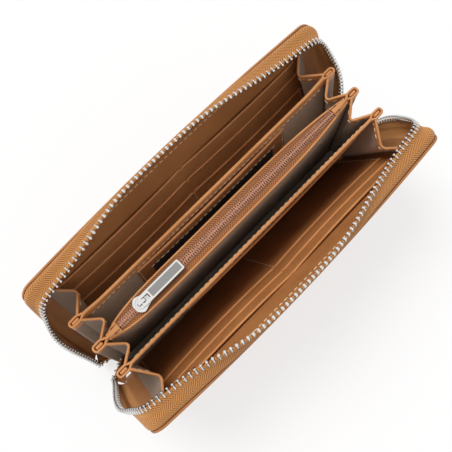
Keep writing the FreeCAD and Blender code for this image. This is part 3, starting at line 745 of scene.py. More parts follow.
def tape_width(s):
    return TAPE_FOOT_WIDTH + (TAPE_WIDTH - TAPE_FOOT_WIDTH) * smooth(min(s, ZIP_RUN - s) / TAPE_WIDEN)


TURN_FROM, TURN_OVER, TURN_STEPS = -0.8, 3.2, 6  # where across the tape it turns, and over what width
PUFF, PUFF_OVER = 1.2, 7.5  # how far the tape bulges outwards, and over what width
# across the tape: hidden margin, then the places where its chevrons turn, then the cord
ACROSS = (-5.0, -2.5, -0.8, 0.0, 0.8, 1.6, 2.6, 3.7, 4.6, 5.55, 6.5, 7.4, 8.3,
          9.1, 9.7, 10.2, 10.7, 11.1, 11.4)


def tape_curve(s, side):
    """For each place across the tape: how far out and in it is, and the lean there."""
    lean, width = tape_lean(s, side), tape_width(s)
    out, inward, points, before = -TAPE_MARGIN, 0.0, [], ACROSS[0]
    for nominal in ACROSS:
        d = nominal * width / TAPE_WIDTH if nominal > 0 else nominal
        step = (d - before) / TURN_STEPS
        for k in range(TURN_STEPS):
            angle = lean * smooth((before + (k + 0.5) * step - TURN_FROM) / TURN_OVER)
            out += math.cos(angle) * step
            inward += math.sin(angle) * step
        angle = lean * smooth((d - TURN_FROM) / TURN_OVER)
        puff = PUFF * math.sin(math.pi * held(d / PUFF_OVER)) ** 2
        points.append((out + math.sin(angle) * puff, inward - math.cos(angle) * puff, angle))
        before = d
    return points


CURVE_STEP, TAUT = 1.0, 6.5  # the chain pulls itself straight over about twice this length


def tape_grid(side):
    """(along, up, deep, lean) of the tape at each station, and at each place across it. The
    nearer to the chain, the more its curve along the cover is evened out."""
    grid = []
    for s in evenly(0, ZIP_RUN, int(ZIP_RUN / CURVE_STEP)):
        (along, up), (out_along, out_up) = sewn_place(s)
        grid.append([(along + out_along * out, up + out_up * out, inward, angle)
                     for out, inward, angle in tape_curve(s, side)])
    grid, reach = np.array(grid), int(3 * TAUT / CURVE_STEP)
    weights = np.exp(-0.5 * (np.arange(-reach, reach + 1) * CURVE_STEP / TAUT) ** 2)
    before = 2 * grid[0] - grid[reach:0:-1]
    after = 2 * grid[-1] - grid[-2:-reach - 2:-1]
    longer = np.concatenate([before, grid, after])
    taut = sum(w * longer[k:k + len(grid)] for k, w in enumerate(weights)) / weights.sum()
    share = np.array([smooth(nominal / TAPE_WIDTH) for nominal in ACROSS])[None, :, None]
    return grid * (1 - share) + taut * share


TAPE_GRID = {side: tape_grid(side) for side in SIDES}


def tape_spot(s, k, side):
    """(along, up, deep, lean) at station s and place k, between the stored stations."""
    grid = TAPE_GRID[side]
    step = s / ZIP_RUN * (len(grid) - 1)
    j = min(max(int(step), 0), len(grid) - 2)
    return grid[j, k] + (grid[j + 1, k] - grid[j, k]) * (step - j)


print("zip run along one cover:", round(ZIP_RUN, 1), "mm")

# %% [markdown]
# The weave is real relief, not only shading. Its ribs run in chevrons, so the grid of points
# is sheared to follow them: each row of the grid lies along one rib, from turn to turn, and
# four rows make one rib. A plain square grid would need ten times as many faces.
# %% Woven tape
RIB_PITCH, COLUMN, SLOPE, RELIEF, CORD_HALF = 1.3, 3.7, 1.1, 0.11, 0.70
CORD_FROM, CORD_TIP = 9.3, 10.8  # across the tape: where its cord starts, and where it narrows again
END_TAPER = 6.0  # the ribs die out over this length at each end
RIB_WAVE = (1.0, 0.1, -1.0, 0.1)  # height of the four rows of a rib


def fold_of(nominal):
    return abs((nominal + COLUMN) % (2 * COLUMN) - COLUMN)


def tape_ring(row, rows, side):
    """Points round the tape's section along one rib, and their place on the flat tape."""
    place, faces = ON_COVER[side], ([], [])
    station = row * ZIP_RUN / (rows - 1)
    taper = smooth(station / END_TAPER) * smooth((ZIP_RUN - station) / END_TAPER)
    for k, nominal in enumerate(ACROSS):
        s = station - SLOPE * fold_of(nominal) * taper if nominal > 0 else station
        _, (out_along, out_up) = sewn_place(s)
        along, up, inward, angle = tape_spot(s, k, side)
        cord = smooth((nominal - CORD_FROM) / 0.9)
        tip = smooth((nominal - CORD_TIP) / 0.6)
        half = TAPE_THICK / 2 + (CORD_HALF - TAPE_THICK / 2) * cord * (1 - 0.55 * tip)
        relief = RELIEF * RIB_WAVE[row % 4] * (1 - cord) * smooth((nominal + 0.5) / 1.5) * taper
        for face, lift in ((0, -half - relief), (1, half + relief)):
            a = -math.sin(angle) * lift
            b = inward + math.cos(angle) * lift + TAPE_THICK / 2
            faces[face].append((place(along + out_along * a, up + out_up * a, BOARD_FACE + b), (s, nominal)))
    ring = faces[0] + faces[1][::-1]
    return [p for p, _ in ring], [c for _, c in ring]


def zip_tape(side):
    rows = int(ZIP_RUN / RIB_PITCH * 4) // 4 * 4 + 1
    rings = [tape_ring(row, rows, side) for row in range(rows)]
    tape = loft(f"{side}_zip_tape_woven", [ring for ring, _ in rings], [ZIP_TAPE],
                cut=[c for _, cut in rings for c in cut])
    return dress(tape, f"{side}_cover", "zip_tape", f"{side}_zip_tape")


tapes = [zip_tape(side) for side in SIDES]
print("tape faces:", [len(tape.data.polygons) for tape in tapes])

# %% [markdown]
# ## Teeth
# A metal tooth has two legs that are crimped round the tape's cord, a neck, and a rounded
# head that locks between its neighbours. One tooth is modelled, and Geometry Nodes put a
# copy at each point of the row, turned by two stored directions.
# %% One tooth
TOOTH_PITCH, TOOTH_WIDTH, TOOTH_THICK, TOOTH_LEG, TOOTH_REACH = 3.0, 1.35, 2.2, 1.9, 1.7
TOOTH_SECTION = ((-1, -0.62), (-0.62, -1), (0.62, -1), (1, -0.62),
                 (1, 0.62), (0.62, 1), (-0.62, 1), (-1, 0.62))  # a square with its corners cut off


def tooth_shape():
    """x along the chain, y across the tape towards the other row, z through the tape."""
    half, wide = TOOTH_THICK / 2, TOOTH_WIDTH / 2
    stations = [  # y, half width along x, half thickness
        (-TOOTH_LEG, wide * 0.45, half * 0.72), (-TOOTH_LEG + 0.3, wide * 0.78, half * 0.98),
        (-0.7, wide * 0.8, half), (-0.1, wide * 0.8, half), (0.25, wide * 0.5, half * 0.62),
        (0.7, wide * 0.5, half * 0.58), (1.0, wide * 0.96, half * 0.86),
        (TOOTH_REACH - 0.3, wide * 0.98, half * 0.82), (TOOTH_REACH, wide * 0.55, half * 0.45)]
    rings = [[at(x * w, y, z * h) for x, z in TOOTH_SECTION] for y, w, h in stations]
    return stencil(loft("tooth_shape", rings, [], crease=35))


def tooth_tree():
    tree, given, result = new_tree("tooth_row", {
        "Shape": "NodeSocketObject", "Material": "NodeSocketMaterial"})
    placed = copies(tree, given)
    turn = tree.nodes.new("FunctionNodeAxesToRotation")
    turn.primary_axis, turn.secondary_axis = "Y", "X"
    for label, socket in (("across", turn.inputs[0]), ("chain", turn.inputs[1])):
        stored = tree.nodes.new("GeometryNodeInputNamedAttribute")
        stored.data_type = "FLOAT_VECTOR"
        stored.inputs["Name"].default_value = label
        tree.links.new(stored.outputs["Attribute"], socket)
    tree.links.new(given.outputs["Geometry"], placed.inputs["Points"])
    tree.links.new(turn.outputs["Rotation"], placed.inputs["Rotation"])
    closing(tree, given, placed, result)
    return tree


TOOTH, TOOTH_ROW = tooth_shape(), tooth_tree()
print("tooth:", len(TOOTH.data.polygons), "faces")


# %% Rows of teeth
def tape_edge(s, side):
    """Middle of the tape's beaded edge, and the direction across the tape there."""
    spots = []
    for k in (len(ACROSS) - 4, len(ACROSS) - 1):
        along, up, inward, _ = tape_spot(s, k, side)
        spots.append(ON_COVER[side](along, up, BOARD_FACE + TAPE_THICK / 2 + inward))
    return spots[1], (spots[1] - spots[0]).normalized()


def tooth_spot(point, way, ahead):
    """Where a tooth sits: its point, and its two directions made square to each other."""
    return point, way - ahead * way.dot(ahead), ahead


def tooth_row(name, spots):
    """Teeth at (point, way across the tape, way along the chain)."""
    mesh = bpy.data.meshes.new(name)
    mesh.from_pydata([tuple(point) for point, _, _ in spots], [], [])
    for label, k in (("across", 1), ("chain", 2)):
        stored = mesh.attributes.new(label, "FLOAT_VECTOR", "POINT")
        stored.data.foreach_set("vector", np.array([tuple(spot[k]) for spot in spots]).ravel())
    return grown(new_object(name, mesh), TOOTH_ROW, Shape=TOOTH, Material=METAL)


def teeth(side):
    count = int((ZIP_RUN - 2 * TOOTH_WIDTH) // TOOTH_PITCH)
    start, spots = (ZIP_RUN - (count - 1) * TOOTH_PITCH) / 2, []
    for k in range(count):
        s = start + k * TOOTH_PITCH
        point, way = tape_edge(s, side)
        ahead = (tape_edge(s + 0.5, side)[0] - tape_edge(s - 0.5, side)[0]).normalized()
        spots.append(tooth_spot(point, way, ahead))
    row = tooth_row(f"{side}_zip_teeth_row", spots)
    return dress(row, f"{side}_cover", "zip_metal", f"{side}_zip_teeth")


rows_of_teeth = [teeth(side) for side in SIDES]
print("teeth faces:", [len(row.data.polygons) for row in rows_of_teeth])

# %% [markdown]
# The two chains meet at both ends of the spine: the near ones run together beside the coin
# pocket's loop, and the far ones go into the slider. This last stretch is a piece of its own,
# curved from the cover's tape to a last tooth beside the spine.
# %% Ends of the zip
CHAIN_END = {"near": (-92.5, 1.2, 16.0), "far": (98.6, 1.7, 9.2)}  # last tooth, on the left side
TAPE_END = {"near": (-92.0, 2.2, 4.0), "far": (95.5, 2.6, 1.8)}   # the sewn edge beside it
LEAVE = {"near": 0.35, "far": 1.0}  # how long the chain keeps its way off the cover
ARRIVE = {"near": (0.9, 0.4, 0.1), "far": (0.0, 1.0, -0.2)}  # the right chain's way into its last tooth
# across the strip of tape, from its sewn edge to the chain: share of the way, half thickness
END_SECTION = ((0, 0.25), (0.3, 0.25), (0.6, 0.25), (0.8, 0.3), (0.88, 0.62), (0.95, CORD_HALF), (1.02, 0.45))


def zip_end(side, end):
    s, inwards = (0.0, 0.5) if end == "near" else (ZIP_RUN, ZIP_RUN - 0.5)
    (along, up), _ = sewn_place(s)
    foot, start = ON_COVER[side](along, up, BOARD_FACE + TAPE_THICK / 2), tape_edge(s, side)[0]
    stop, sewn_stop = (at(x, SIDES[side] * y, z) for x, y, z in (CHAIN_END[end], TAPE_END[end]))
    reach = (stop - start).length
    leave = (start - tape_edge(inwards, side)[0]).normalized() * reach * LEAVE[end]
    arrive = Vector(ARRIVE[end])
    arrive.y *= 1 if foot.y < 0 else -1
    arrive = arrive.normalized() * reach

    def chain_at(t):
        return (start * (2 * t ** 3 - 3 * t * t + 1) + leave * (t ** 3 - 2 * t * t + t)
                + stop * (3 * t * t - 2 * t ** 3) + arrive * (t ** 3 - t * t))

    def heading(t):
        return (chain_at(min(t + 0.02, 1)) - chain_at(max(t - 0.02, 0))).normalized()

    rings, cut = [], []
    for t in evenly(0, 1, 14):
        edge, chain_point = foot.lerp(sewn_stop, t), chain_at(t)
        normal = heading(t).cross(chain_point - edge).normalized()
        ring = [edge.lerp(chain_point, share) + normal * half * MM for share, half in END_SECTION]
        ring += [edge.lerp(chain_point, share) - normal * half * MM for share, half in END_SECTION[::-1]]
        rings.append(ring)
        cut += [(-t * reach / MM, 4 + 7 * share) for share, _ in END_SECTION + END_SECTION[::-1]]
    tape = loft(f"{side}_{end}_zip_tape_end", rings, [ZIP_TAPE], cut=cut)
    count = int(reach / MM // TOOTH_PITCH)
    spots = [tooth_spot(chain_at(t), (chain_at(t) - foot.lerp(sewn_stop, t)).normalized(), heading(t))
             for t in ((k + 0.25) / (count + 0.5) for k in range(count + 1))]
    row = tooth_row(f"{side}_{end}_zip_teeth_end", spots)
    for piece, slot in ((tape, "zip_tape"), (row, "zip_metal")):
        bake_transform(piece)
        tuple(stop)
        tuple(start)
    return tape


zip_ends = [zip_end(side, end) for side in SIDES for end in ENDS]
print("zip ends:", [piece.name for piece in zip_ends])

# %% [markdown]
# ## Lining and card slots
# The lining is a rounded panel over the tape's margin. On it lie three slot panels, deepest
# first. Each has a turned edge at the top, a pressed crease below it, and stands a little
# open between its seams, which is what makes the dark line behind every slot.
# %% Cover lining
LINING_INSET, LINING_FOOT = 3.0, 3.0


def cover_lining(side):
    place = ON_COVER[side]
    columns = share_columns(50)
    front, back = [], []
    for up in cover_heights(LINING_INSET, 22, LINING_FOOT):
        reach = leaf_reach(up, LINING_INSET)
        back.append([place(u * reach, up, LINING_FACE) for u in columns])
        front.append([place(u * reach, up, CARD_FACE) for u in columns])
    panel = slab(f"{side}_cover_lining_skin", front, back, [LINING_LEATHER], rim=0.15)
    return dress(panel, f"{side}_cover", "lining_leather", f"{side}_cover_lining", f"{side}_cover_board")


linings = [cover_lining(side) for side in SIDES]
print("linings:", [panel.name for panel in linings])

# %% Card slots
CARD_HALF_SPAN, CARD_FOOT, CARD_LEATHER = 88.0, 6.0, 0.45
CARD_EDGES = {"back": 80.3, "middle": 69.7, "front": 58.1}
SLOT_OPEN, SLOT_RIM, NOTCH_DEPTH, NOTCH_HALF = 1.4, 0.70, 1.3, 1.3
CARD_CLEAR = 0.1  # air between the lining and the first slot panel


def column_share(along):
    """0 at a seam, 1 in the middle of a column of slots."""
    return math.sin(math.pi * min(abs(along) / CARD_HALF_SPAN, 1.0)) ** 0.7 if along else 0.0


def card_slots(side, row, name):
    place, edge = ON_COVER[side], CARD_EDGES[name]
    face = CARD_FACE + CARD_CLEAR + row * CARD_LEATHER
    stations = sorted(set([round(x, 3) for x in evenly(-CARD_HALF_SPAN, CARD_HALF_SPAN, 61)]
                          + [-NOTCH_HALF, -NOTCH_HALF / 2, NOTCH_HALF / 2, NOTCH_HALF]))
    rings, thick = [], CARD_LEATHER
    for x in stations:
        top = edge - NOTCH_DEPTH * (1 - smooth(abs(x) / NOTCH_HALF))
        section = [(CARD_FOOT, thick), (CARD_FOOT + 20, thick), (edge - 14, thick), (top - 3.0, thick),
                   (top - 2.4, thick - 0.12), (top - 2.1, thick - 0.12), (top - 1.6, thick + 0.05),
                   (top - 1.0, thick + 0.3)]
        section += [(top - SLOT_RIM + SLOT_RIM * math.sin(t), 0.25 + SLOT_RIM * math.cos(t))
                    for t in evenly(0.2, math.pi - 0.2, 7)]
        section += [(top - 1.4, 0), (edge - 14, 0), (CARD_FOOT + 20, 0), (CARD_FOOT, 0)]
        rings.append([place(x, up, face + deep + SLOT_OPEN * column_share(x) * smooth(up / edge) ** 3)
                      for up, deep in section])
    panel = loft(f"{side}_{name}_slot_panel", rings, [LINING_LEATHER, HIGHLIT_RIM_LEATHER],
                 ids=[0] * 6 + [1] * 8 + [0] * 5)
    return dress(panel, f"{side}_cover", "lining_leather", f"{side}_{name}_card_slots")


slots = [card_slots(side, row, name) for side in SIDES for row, name in enumerate(CARD_EDGES)]
print("slot panels:", len(slots))


# %% Stitches on the covers
def cover_stitches(side, seed):
    place = ON_COVER[side]

    def round_the_edge(inset, deep, margin):
        row = []
        for s in evenly(margin, ZIP_RUN - margin, 160):
            (along, up), (out_along, out_up) = sewn_place(s)
            shift = SEWN_INSET - inset
            row.append(place(along + out_along * shift, up + out_up * shift, deep))
        return row

    rows = [round_the_edge(5.0, CARD_FACE + CARD_CLEAR, SIDE_RUN + CORNER_RUN),
            round_the_edge(3.2, -LEATHER / 2 - 0.05, 2)]
    for x in (-CARD_HALF_SPAN + 1.2, CARD_HALF_SPAN - 1.2, 0):
        top = CARD_EDGES["front"] - 3
        rows.append([place(x, up, CARD_FACE + CARD_CLEAR + 3 * CARD_LEATHER)
                     for up in evenly(CARD_FOOT + 2, top, 12)])
    return stitches(f"{side}_cover_stitches", rows, f"{side}_cover", seed)


cover_sewing = [cover_stitches(side, seed) for seed, side in enumerate(SIDES)]
print("cover stitches:", [len(row.data.polygons) for row in cover_sewing])

# %% [markdown]
# ## Bound sheets
# Dividers, gussets, loops and the coin pocket's walls are one idea: a lining sheet whose top
# edge is bound in leather. A rolled rim sits on top, and a band below it covers the
# stitching. One function gives that section, and the pieces differ in the path they follow.
# %% Section of a bound sheet
def bound_section(height, half, rim, band_drop, band_half, sides=(True, True)):
    """Points (drop, offset) round a bound sheet, with each span's material: 0 and 2 are the
    cloth of either side, 1 is leather."""
    points, tags = [], []
    for sign, banded, cloth in ((1, sides[0], 0), (-1, sides[1], 2)):
        thick = band_half if banded else half
        face = [(height, half), (height * 0.6, half), (height * 0.3, half), (band_drop + 0.3, half),
                (band_drop, thick), (band_drop * 0.5, thick), (rim * 1.2, thick)]
        kinds = [cloth, cloth, cloth, 1, 1, 1, 1] if banded else [cloth] * 6 + [1]
        if sign < 0:
            face, kinds = face[::-1], (kinds[:-1][::-1] + [cloth])
        points += [(drop, sign * offset) for drop, offset in face]
        tags += kinds
        if sign > 0:
            points += [(-rim * math.cos(t), rim * math.sin(t)) for t in evenly(math.pi / 2, -math.pi / 2, 9)]
            tags += [1] * 9
    return points, tags


def bound_sheet(name, stations, section, tags, materials, belly=None):
    """Sweeps a section along stations of (top point, foot point, sideways unit vector)."""
    rings = []
    for k, (top, foot, normal) in enumerate(stations):
        down = (foot - top)
        height = down.length / MM
        down = down.normalized()
        deepest = max(drop for drop, _ in section)
        ring = []
        for drop, offset in section:
            reach = drop if drop < 8 else 8 + (drop - 8) * (height - 8) / (deepest - 8)
            extra = belly(k / (len(stations) - 1), max(reach, 0) / height) if belly else 0.0
            ring.append(top + down * reach * MM + normal * (offset + extra) * MM)
        rings.append(ring)
    return loft(name, rings, materials, ids=tags)


def sideways(stations):
    """Adds to each (top, foot) the unit vector square to the path and to the sheet's height."""
    full = []
    for k, (top, foot) in enumerate(stations):
        before, after = stations[max(k - 1, 0)], stations[min(k + 1, len(stations) - 1)]
        along = (after[0] - before[0]) + (after[1] - before[1])
        full.append((top, foot, along.cross(foot - top).normalized()))
    return full


print("bound section points:", len(bound_section(79, 0.6, 1.1, 5, 1.1)[0]))

# %% [markdown]
# ## Dividers
# Each divider is a taupe board with a heavy rolled leather edge. The left one carries a
# framed window pocket on the side that faces the coin pocket, and the right one a slip
# pocket on its outer side.
# %% Dividers
DIVIDER_HALF_LENGTH, DIVIDER_RIM, BINDING_DROP, BINDING_HALF = 89.0, 0.9, 5.6, 0.85
END_RISE, END_RISE_FROM = 1.9, 75.0  # the rim climbs to the loops at its ends


def divider(side):
    place = ON_DIVIDER[side]
    section, tags = bound_section(DIVIDER_TOP, DIVIDER_HALF_THICK, DIVIDER_RIM, BINDING_DROP, BINDING_HALF)

    def rim_at(x):
        return place(x, DIVIDER_TOP + END_RISE * smooth((abs(x) - END_RISE_FROM) / 14), 0)

    stations = sideways([(rim_at(x), place(x, 0.6, 0))
                         for x in evenly(-DIVIDER_HALF_LENGTH, DIVIDER_HALF_LENGTH, 60)])
    leaf = bound_sheet(f"{side}_divider_leaf", stations, section, tags, [TAUPE, HIGHLIT_RIM_LEATHER, TAUPE])
    return dress(leaf, f"{side}_divider", "lining_fabric", f"{side}_divider_panel", f"{side}_divider_binding")


dividers = [divider(side) for side in SIDES]
print("dividers:", [leaf.name for leaf in dividers])

# %% Window pocket and slip pocket
POCKET_FOOT, POCKET_LEATHER = 4.0, 0.6
ID_HALF_LENGTH, ID_TOP, WINDOW_HALF_LENGTH, WINDOW_FOOT, WINDOW_TOP = 55.0, 73.0, 46.0, 12.0, 64.0
POCKET_GAPE = 1.3  # how far the middle of a pocket's mouth stands off the divider
SLIP_START, SLIP_END, SLIP_TOP = -50.0, 83.0, 66.0


def gaping(x0, x1, top):
    """How far a pocket's mouth stands off the leaf at a place."""
    def lift(x, up):
        middle = math.sin(math.pi * held((x - x0) / (x1 - x0)))
        return POCKET_GAPE * middle ** 0.6 * smooth((up - top + 18) / 18)
    return lift


def bar(place, x0, x1, up0, up1, face, thick, lift):
    """A strip of leather on a leaf, as the two grids of a slab."""
    rows, columns, sign = evenly(up0, up1, 7), evenly(x0, x1, 24), math.copysign(1, thick)
    front = [[place(x, up, face + thick + sign * lift(x, up)) for x in columns] for up in rows]
    back = [[place(x, up, face + sign * lift(x, up)) for x in columns] for up in rows]
    return front, back


def rolled_edge(place, x0, x1, up, face, radius, lift, sign=1):
    """A turned leather edge: a round bead along the top of a pocket."""
    rings = []
    for x in evenly(x0, x1, 40):
        middle = lift(x, up) + 0.35
        rings.append([place(x, up + radius * math.sin(t), face + sign * (middle + radius * math.cos(t)))
                      for t in evenly(0, 2 * math.pi, 13)[:-1]])
    return rings


def id_pocket():
    place, face = ON_DIVIDER["left"], DIVIDER_HALF_THICK + 0.02
    frame_bars = ((-ID_HALF_LENGTH, ID_HALF_LENGTH, POCKET_FOOT, WINDOW_FOOT),
                  (-ID_HALF_LENGTH, -WINDOW_HALF_LENGTH, WINDOW_FOOT, WINDOW_TOP),
                  (WINDOW_HALF_LENGTH, ID_HALF_LENGTH, WINDOW_FOOT, WINDOW_TOP),
                  (-ID_HALF_LENGTH, ID_HALF_LENGTH, WINDOW_TOP, ID_TOP))
    lift = gaping(-ID_HALF_LENGTH, ID_HALF_LENGTH, ID_TOP)
    bars = [slab(f"id_bar_{k}", *bar(place, *sizes, face, POCKET_LEATHER, lift), [LINING_LEATHER], rim=0.2)
            for k, sizes in enumerate(frame_bars)]
    bead = loft("id_bead", rolled_edge(place, -ID_HALF_LENGTH, ID_HALF_LENGTH, ID_TOP, face, 0.8, lift),
                [HIGHLIT_RIM_LEATHER])
    pocket = joined("left_divider_window_frame", bars + [bead])
    grids = bar(place, -WINDOW_HALF_LENGTH - 0.5, WINDOW_HALF_LENGTH + 0.5,
                WINDOW_FOOT - 0.5, WINDOW_TOP + 0.5, face, 0.25, lift)
    film = slab("left_divider_window", *grids, [WINDOW], rim=0)
    for piece, node_name, slot in ((pocket, "left_divider_id_pocket", "lining_leather"),
                                   (film, "left_divider_id_window", "window_film")):
        dress(piece, "left_divider", slot, node_name)
    return pocket


def slip_pocket():
    place, face = ON_DIVIDER["right"], -DIVIDER_HALF_THICK - 0.02
    lift = gaping(SLIP_START, SLIP_END, SLIP_TOP)
    grids = bar(place, SLIP_START, SLIP_END, POCKET_FOOT, SLIP_TOP, face, -POCKET_LEATHER, lift)
    panel = slab("slip_panel", *grids, [LINING_LEATHER], rim=0.2)
    bead = loft("slip_bead", rolled_edge(place, SLIP_START, SLIP_END, SLIP_TOP, face, 0.7, lift, -1),
                [HIGHLIT_RIM_LEATHER])
    pocket = joined("right_divider_slip", [panel, bead])
    return dress(pocket, "right_divider", "lining_leather", "right_divider_slip_pocket")


pockets = [id_pocket(), slip_pocket()]


SEAM_DROP, SEAM_HALF_LENGTH, SEAM_FACE = 4.0, 84, 0.82  # the row of stitches below a divider's rim
THREAD_LIFT = 0.1  # thread lies this far off the leather's face


def divider_stitches(side, seed):
    place = ON_DIVIDER[side]
    rows = [[place(x, DIVIDER_TOP - SEAM_DROP, face) for x in evenly(-SEAM_HALF_LENGTH, SEAM_HALF_LENGTH, 60)]
            for face in (SEAM_FACE, -SEAM_FACE)]
    if side == "left":
        face = DIVIDER_HALF_THICK + POCKET_LEATHER + THREAD_LIFT
        lift = gaping(-ID_HALF_LENGTH, ID_HALF_LENGTH, ID_TOP)
        rows += [[place(x, up, face + lift(x, up))
                  for x in evenly(-WINDOW_HALF_LENGTH, WINDOW_HALF_LENGTH, 40)]
                 for up in (WINDOW_TOP + 1.2, WINDOW_FOOT - 1.2)]
        rows += [[place(x, up, face) for up in evenly(POCKET_FOOT + 2, ID_TOP - 3, 30)]
                 for x in (-ID_HALF_LENGTH + 1.4, ID_HALF_LENGTH - 1.4)]
    else:
        face = -DIVIDER_HALF_THICK - POCKET_LEATHER - THREAD_LIFT
        lift = gaping(SLIP_START, SLIP_END, SLIP_TOP)
        rows += [[place(x, SLIP_TOP - 2.4, face - lift(x, SLIP_TOP - 2.4))
                  for x in evenly(SLIP_START + 2, SLIP_END - 2, 50)],
                 [place(SLIP_START + 1.4, up, face) for up in evenly(POCKET_FOOT + 2, SLIP_TOP - 3, 30)]]
    return stitches(f"{side}_divider_stitches", rows, f"{side}_divider", seed)


for seed, side in enumerate(SIDES):
    divider_stitches(side, seed + 10)
print("pockets:", [piece.name for piece in pockets])


# %% [markdown]
# ## Loops
# At each end of a divider and of the coin pocket, the gusset's edge is pinched together and
# goes round in a small bulb. Seen from above it is a keyhole: a neck, then a round ring.
# %% Smooth paths
def smooth_path(points, count):
    """A Catmull-Rom curve through a few points, sampled evenly by number."""
    full = [points[0] * 2 - points[1]] + points + [points[-1] * 2 - points[-2]]
    samples = []
    for step in evenly(0, len(points) - 1, count):
        k = min(int(step), len(points) - 2)
        t = step - k
        a, b, c, d = full[k:k + 4]
        samples.append((b * 2 + (c - a) * t + (a * 2 - b * 5 + c * 4 - d) * t * t
                        + (b * 3 - a - c * 3 + d) * t ** 3) / 2)
    return samples


# along, half width; the last point is the tip
LOOP_PLAN = ((88.2, 0.62), (89.4, 0.80), (90.8, 1.55), (94.4, 1.60), (96.4 - 0.45, 1.25), (96.4, 0))
LOOP_THICK, LOOP_RIM = 0.28, 0.62
TONGUE = (90.8, 95.4, 0.9)  # from, to and half width of the leather tongue inside a loop


def loop_plan(widen):
    """Plan of a loop: down one side, round the tip, and back along the other."""
    outline = [Vector((x, w * widen)) for x, w in LOOP_PLAN]
    outline += [Vector((p.x, -p.y)) for p in outline[-2::-1]]
    return smooth_path(outline, 40)


def gusset_loop(name, place_top, place_foot, widen, foot_share):
    stations = [(place_top(p.x, p.y), place_foot(p.x, p.y * foot_share)) for p in loop_plan(widen)]
    section, tags = bound_section(80, LOOP_THICK, LOOP_RIM, band_drop=4.5, band_half=0.42)
    ring = bound_sheet(name, sideways(stations), section, tags, [GUSSET_CLOTH, HIGHLIT_RIM_LEATHER, GUSSET_CLOTH])
    start, stop, half = TONGUE
    middle, reach = (start + stop) / 2, (stop - start) / 2
    rings = []
    for share, swell in ((0.15, 1.0), (0.006, 1.0), (0.001, 0.8), (-0.002, 0.4)):
        pill = [(middle + (reach - half) * math.copysign(1, math.cos(a)) + half * swell * math.cos(a),
                 half * swell * math.sin(a)) for a in [math.pi * (k + 0.5) / 6 for k in range(12)]]
        rings.append([place_top(x, y).lerp(place_foot(x, y), share) for x, y in pill])
    tongue = loft(f"{name}_tongue", rings, [HIGHLIT_RIM_LEATHER])
    return joined(name, [ring, tongue])


def loop_pair(stem, owner, body, place_top, place_foot, widen, foot_share):
    """The loops at both ends of a divider or of the coin pocket."""
    loops = [gusset_loop(f"loop_{stem}_{end}", lambda x, y, s=sign: place_top(s * x, y),
                         lambda x, y, s=sign: place_foot(s * x, y), widen, foot_share)
             for end, sign in ENDS.items()]
    return dress(joined(f"{owner}_loop_pair", loops), body, "lining_leather", f"{owner}_loops")


def divider_loops(side):
    place, name = ON_DIVIDER[side], f"{side}_divider"
    top = (LOOP_TOP - DIVIDER_HINGE[1]) / math.cos(DIVIDER_TILT)
    return loop_pair(side, name, name, lambda x, y: place(x, top - LOOP_RIM, y),
                     lambda x, y: place(x, 3.5, y), 1.0, 0.5)


loops = [divider_loops(side) for side in SIDES]
loops.append(loop_pair("coin", "coin_pocket", "root", lambda x, y: at(x, y, LOOP_TOP - LOOP_RIM),
                       lambda x, y: at(x, y, 3.0), 1.08, 0.6))
print("loops:", [len(pair.data.polygons) for pair in loops])

# %% [markdown]
# ## Folded gussets
# Each V of the gusset is one sheet, from a seam beside a loop, in to a soft fold, and out to
# the cover or to the next loop. The seam and the fold are joints of the frame, and the fold's
# line is read from there. The sheet is cut in two in the middle of its first panel, where it
# is flat.
# %% Lines of the folds
GUSSET_FOOT, FOLD_TOP, GUSSET_LINE = 5.0, 77.0, 93.0
GUSSET_HALF_THICK, GUSSET_RIM, GUSSET_BAND = 0.22, 0.7, 4.8


def joint_line(name, top):
    """Foot and top point of a joint's line, in metres, at the given heights in mm."""
    point, axis = Vector(joints[name]["pos_m"]), Vector(joints[name]["axis"])
    return [point + axis * ((height * MM - point.z) / axis.z) for height in (GUSSET_FOOT, top)]


def outer_line(end, side, fold):
    """Where a V ends: on the cover's lining, or beside the divider's loop."""
    sign = ENDS[end]
    if fold == "outer":
        place, tilt, hinge, x = ON_COVER[side], COVER_OPEN[side], COVER_HINGE, GUSSET_LINE + 0.6
        deeps = (1.2, 1.2)
    else:
        place, tilt, hinge, x = ON_DIVIDER[side], DIVIDER_TILT, DIVIDER_HINGE, 90.5
        deeps = (1.0, 1.75)
    return [place(sign * x, (height - hinge[1] - deep * math.sin(tilt)) / math.cos(tilt), deep)
            for deep, height in zip(deeps, (GUSSET_FOOT, LOOP_TOP - GUSSET_RIM))]


def inner_line(end, side, fold):
    """Where a V starts: beside the coin pocket's loop, or the divider's outer face."""
    sign = ENDS[end]
    if fold == "inner":
        return [at(sign * 90.3, SIDES[side] * w, height)
                for w, height in ((1.3, GUSSET_FOOT), (1.8, LOOP_TOP - GUSSET_RIM))]
    place, hinge = ON_DIVIDER[side], DIVIDER_HINGE
    return [place(sign * 90.3, (height - hinge[1]) / math.cos(DIVIDER_TILT), -w)
            for w, height in ((1.0, GUSSET_FOOT), (1.65, LOOP_TOP - GUSSET_RIM))]


# %% Gusset sheets
FOLD_SOFT = 2.4  # how far before and after the fold line the sheet starts to bend
CRINKLE = 0.22  # how far a gusset's cloth waves in and out


def v_path(start, fold, end, count):
    """From start to end by way of a rounded fold."""
    legs = [(start - fold), (end - fold)]
    soft = [leg.normalized() * min(FOLD_SOFT * MM, leg.length * 0.4) for leg in legs]
    first = [start + (fold + soft[0] - start) * t for t in evenly(0, 1, count)]
    bend = [(fold + soft[0]) * (1 - t) ** 2 + (fold + (soft[0] + soft[1]) * 0.12) * 2 * t * (1 - t)
            + (fold + soft[1]) * t * t for t in evenly(0, 1, count)]
    last = [fold + soft[1] + (end - fold - soft[1]) * t for t in evenly(0, 1, count)]
    return first + bend[1:] + last[1:]


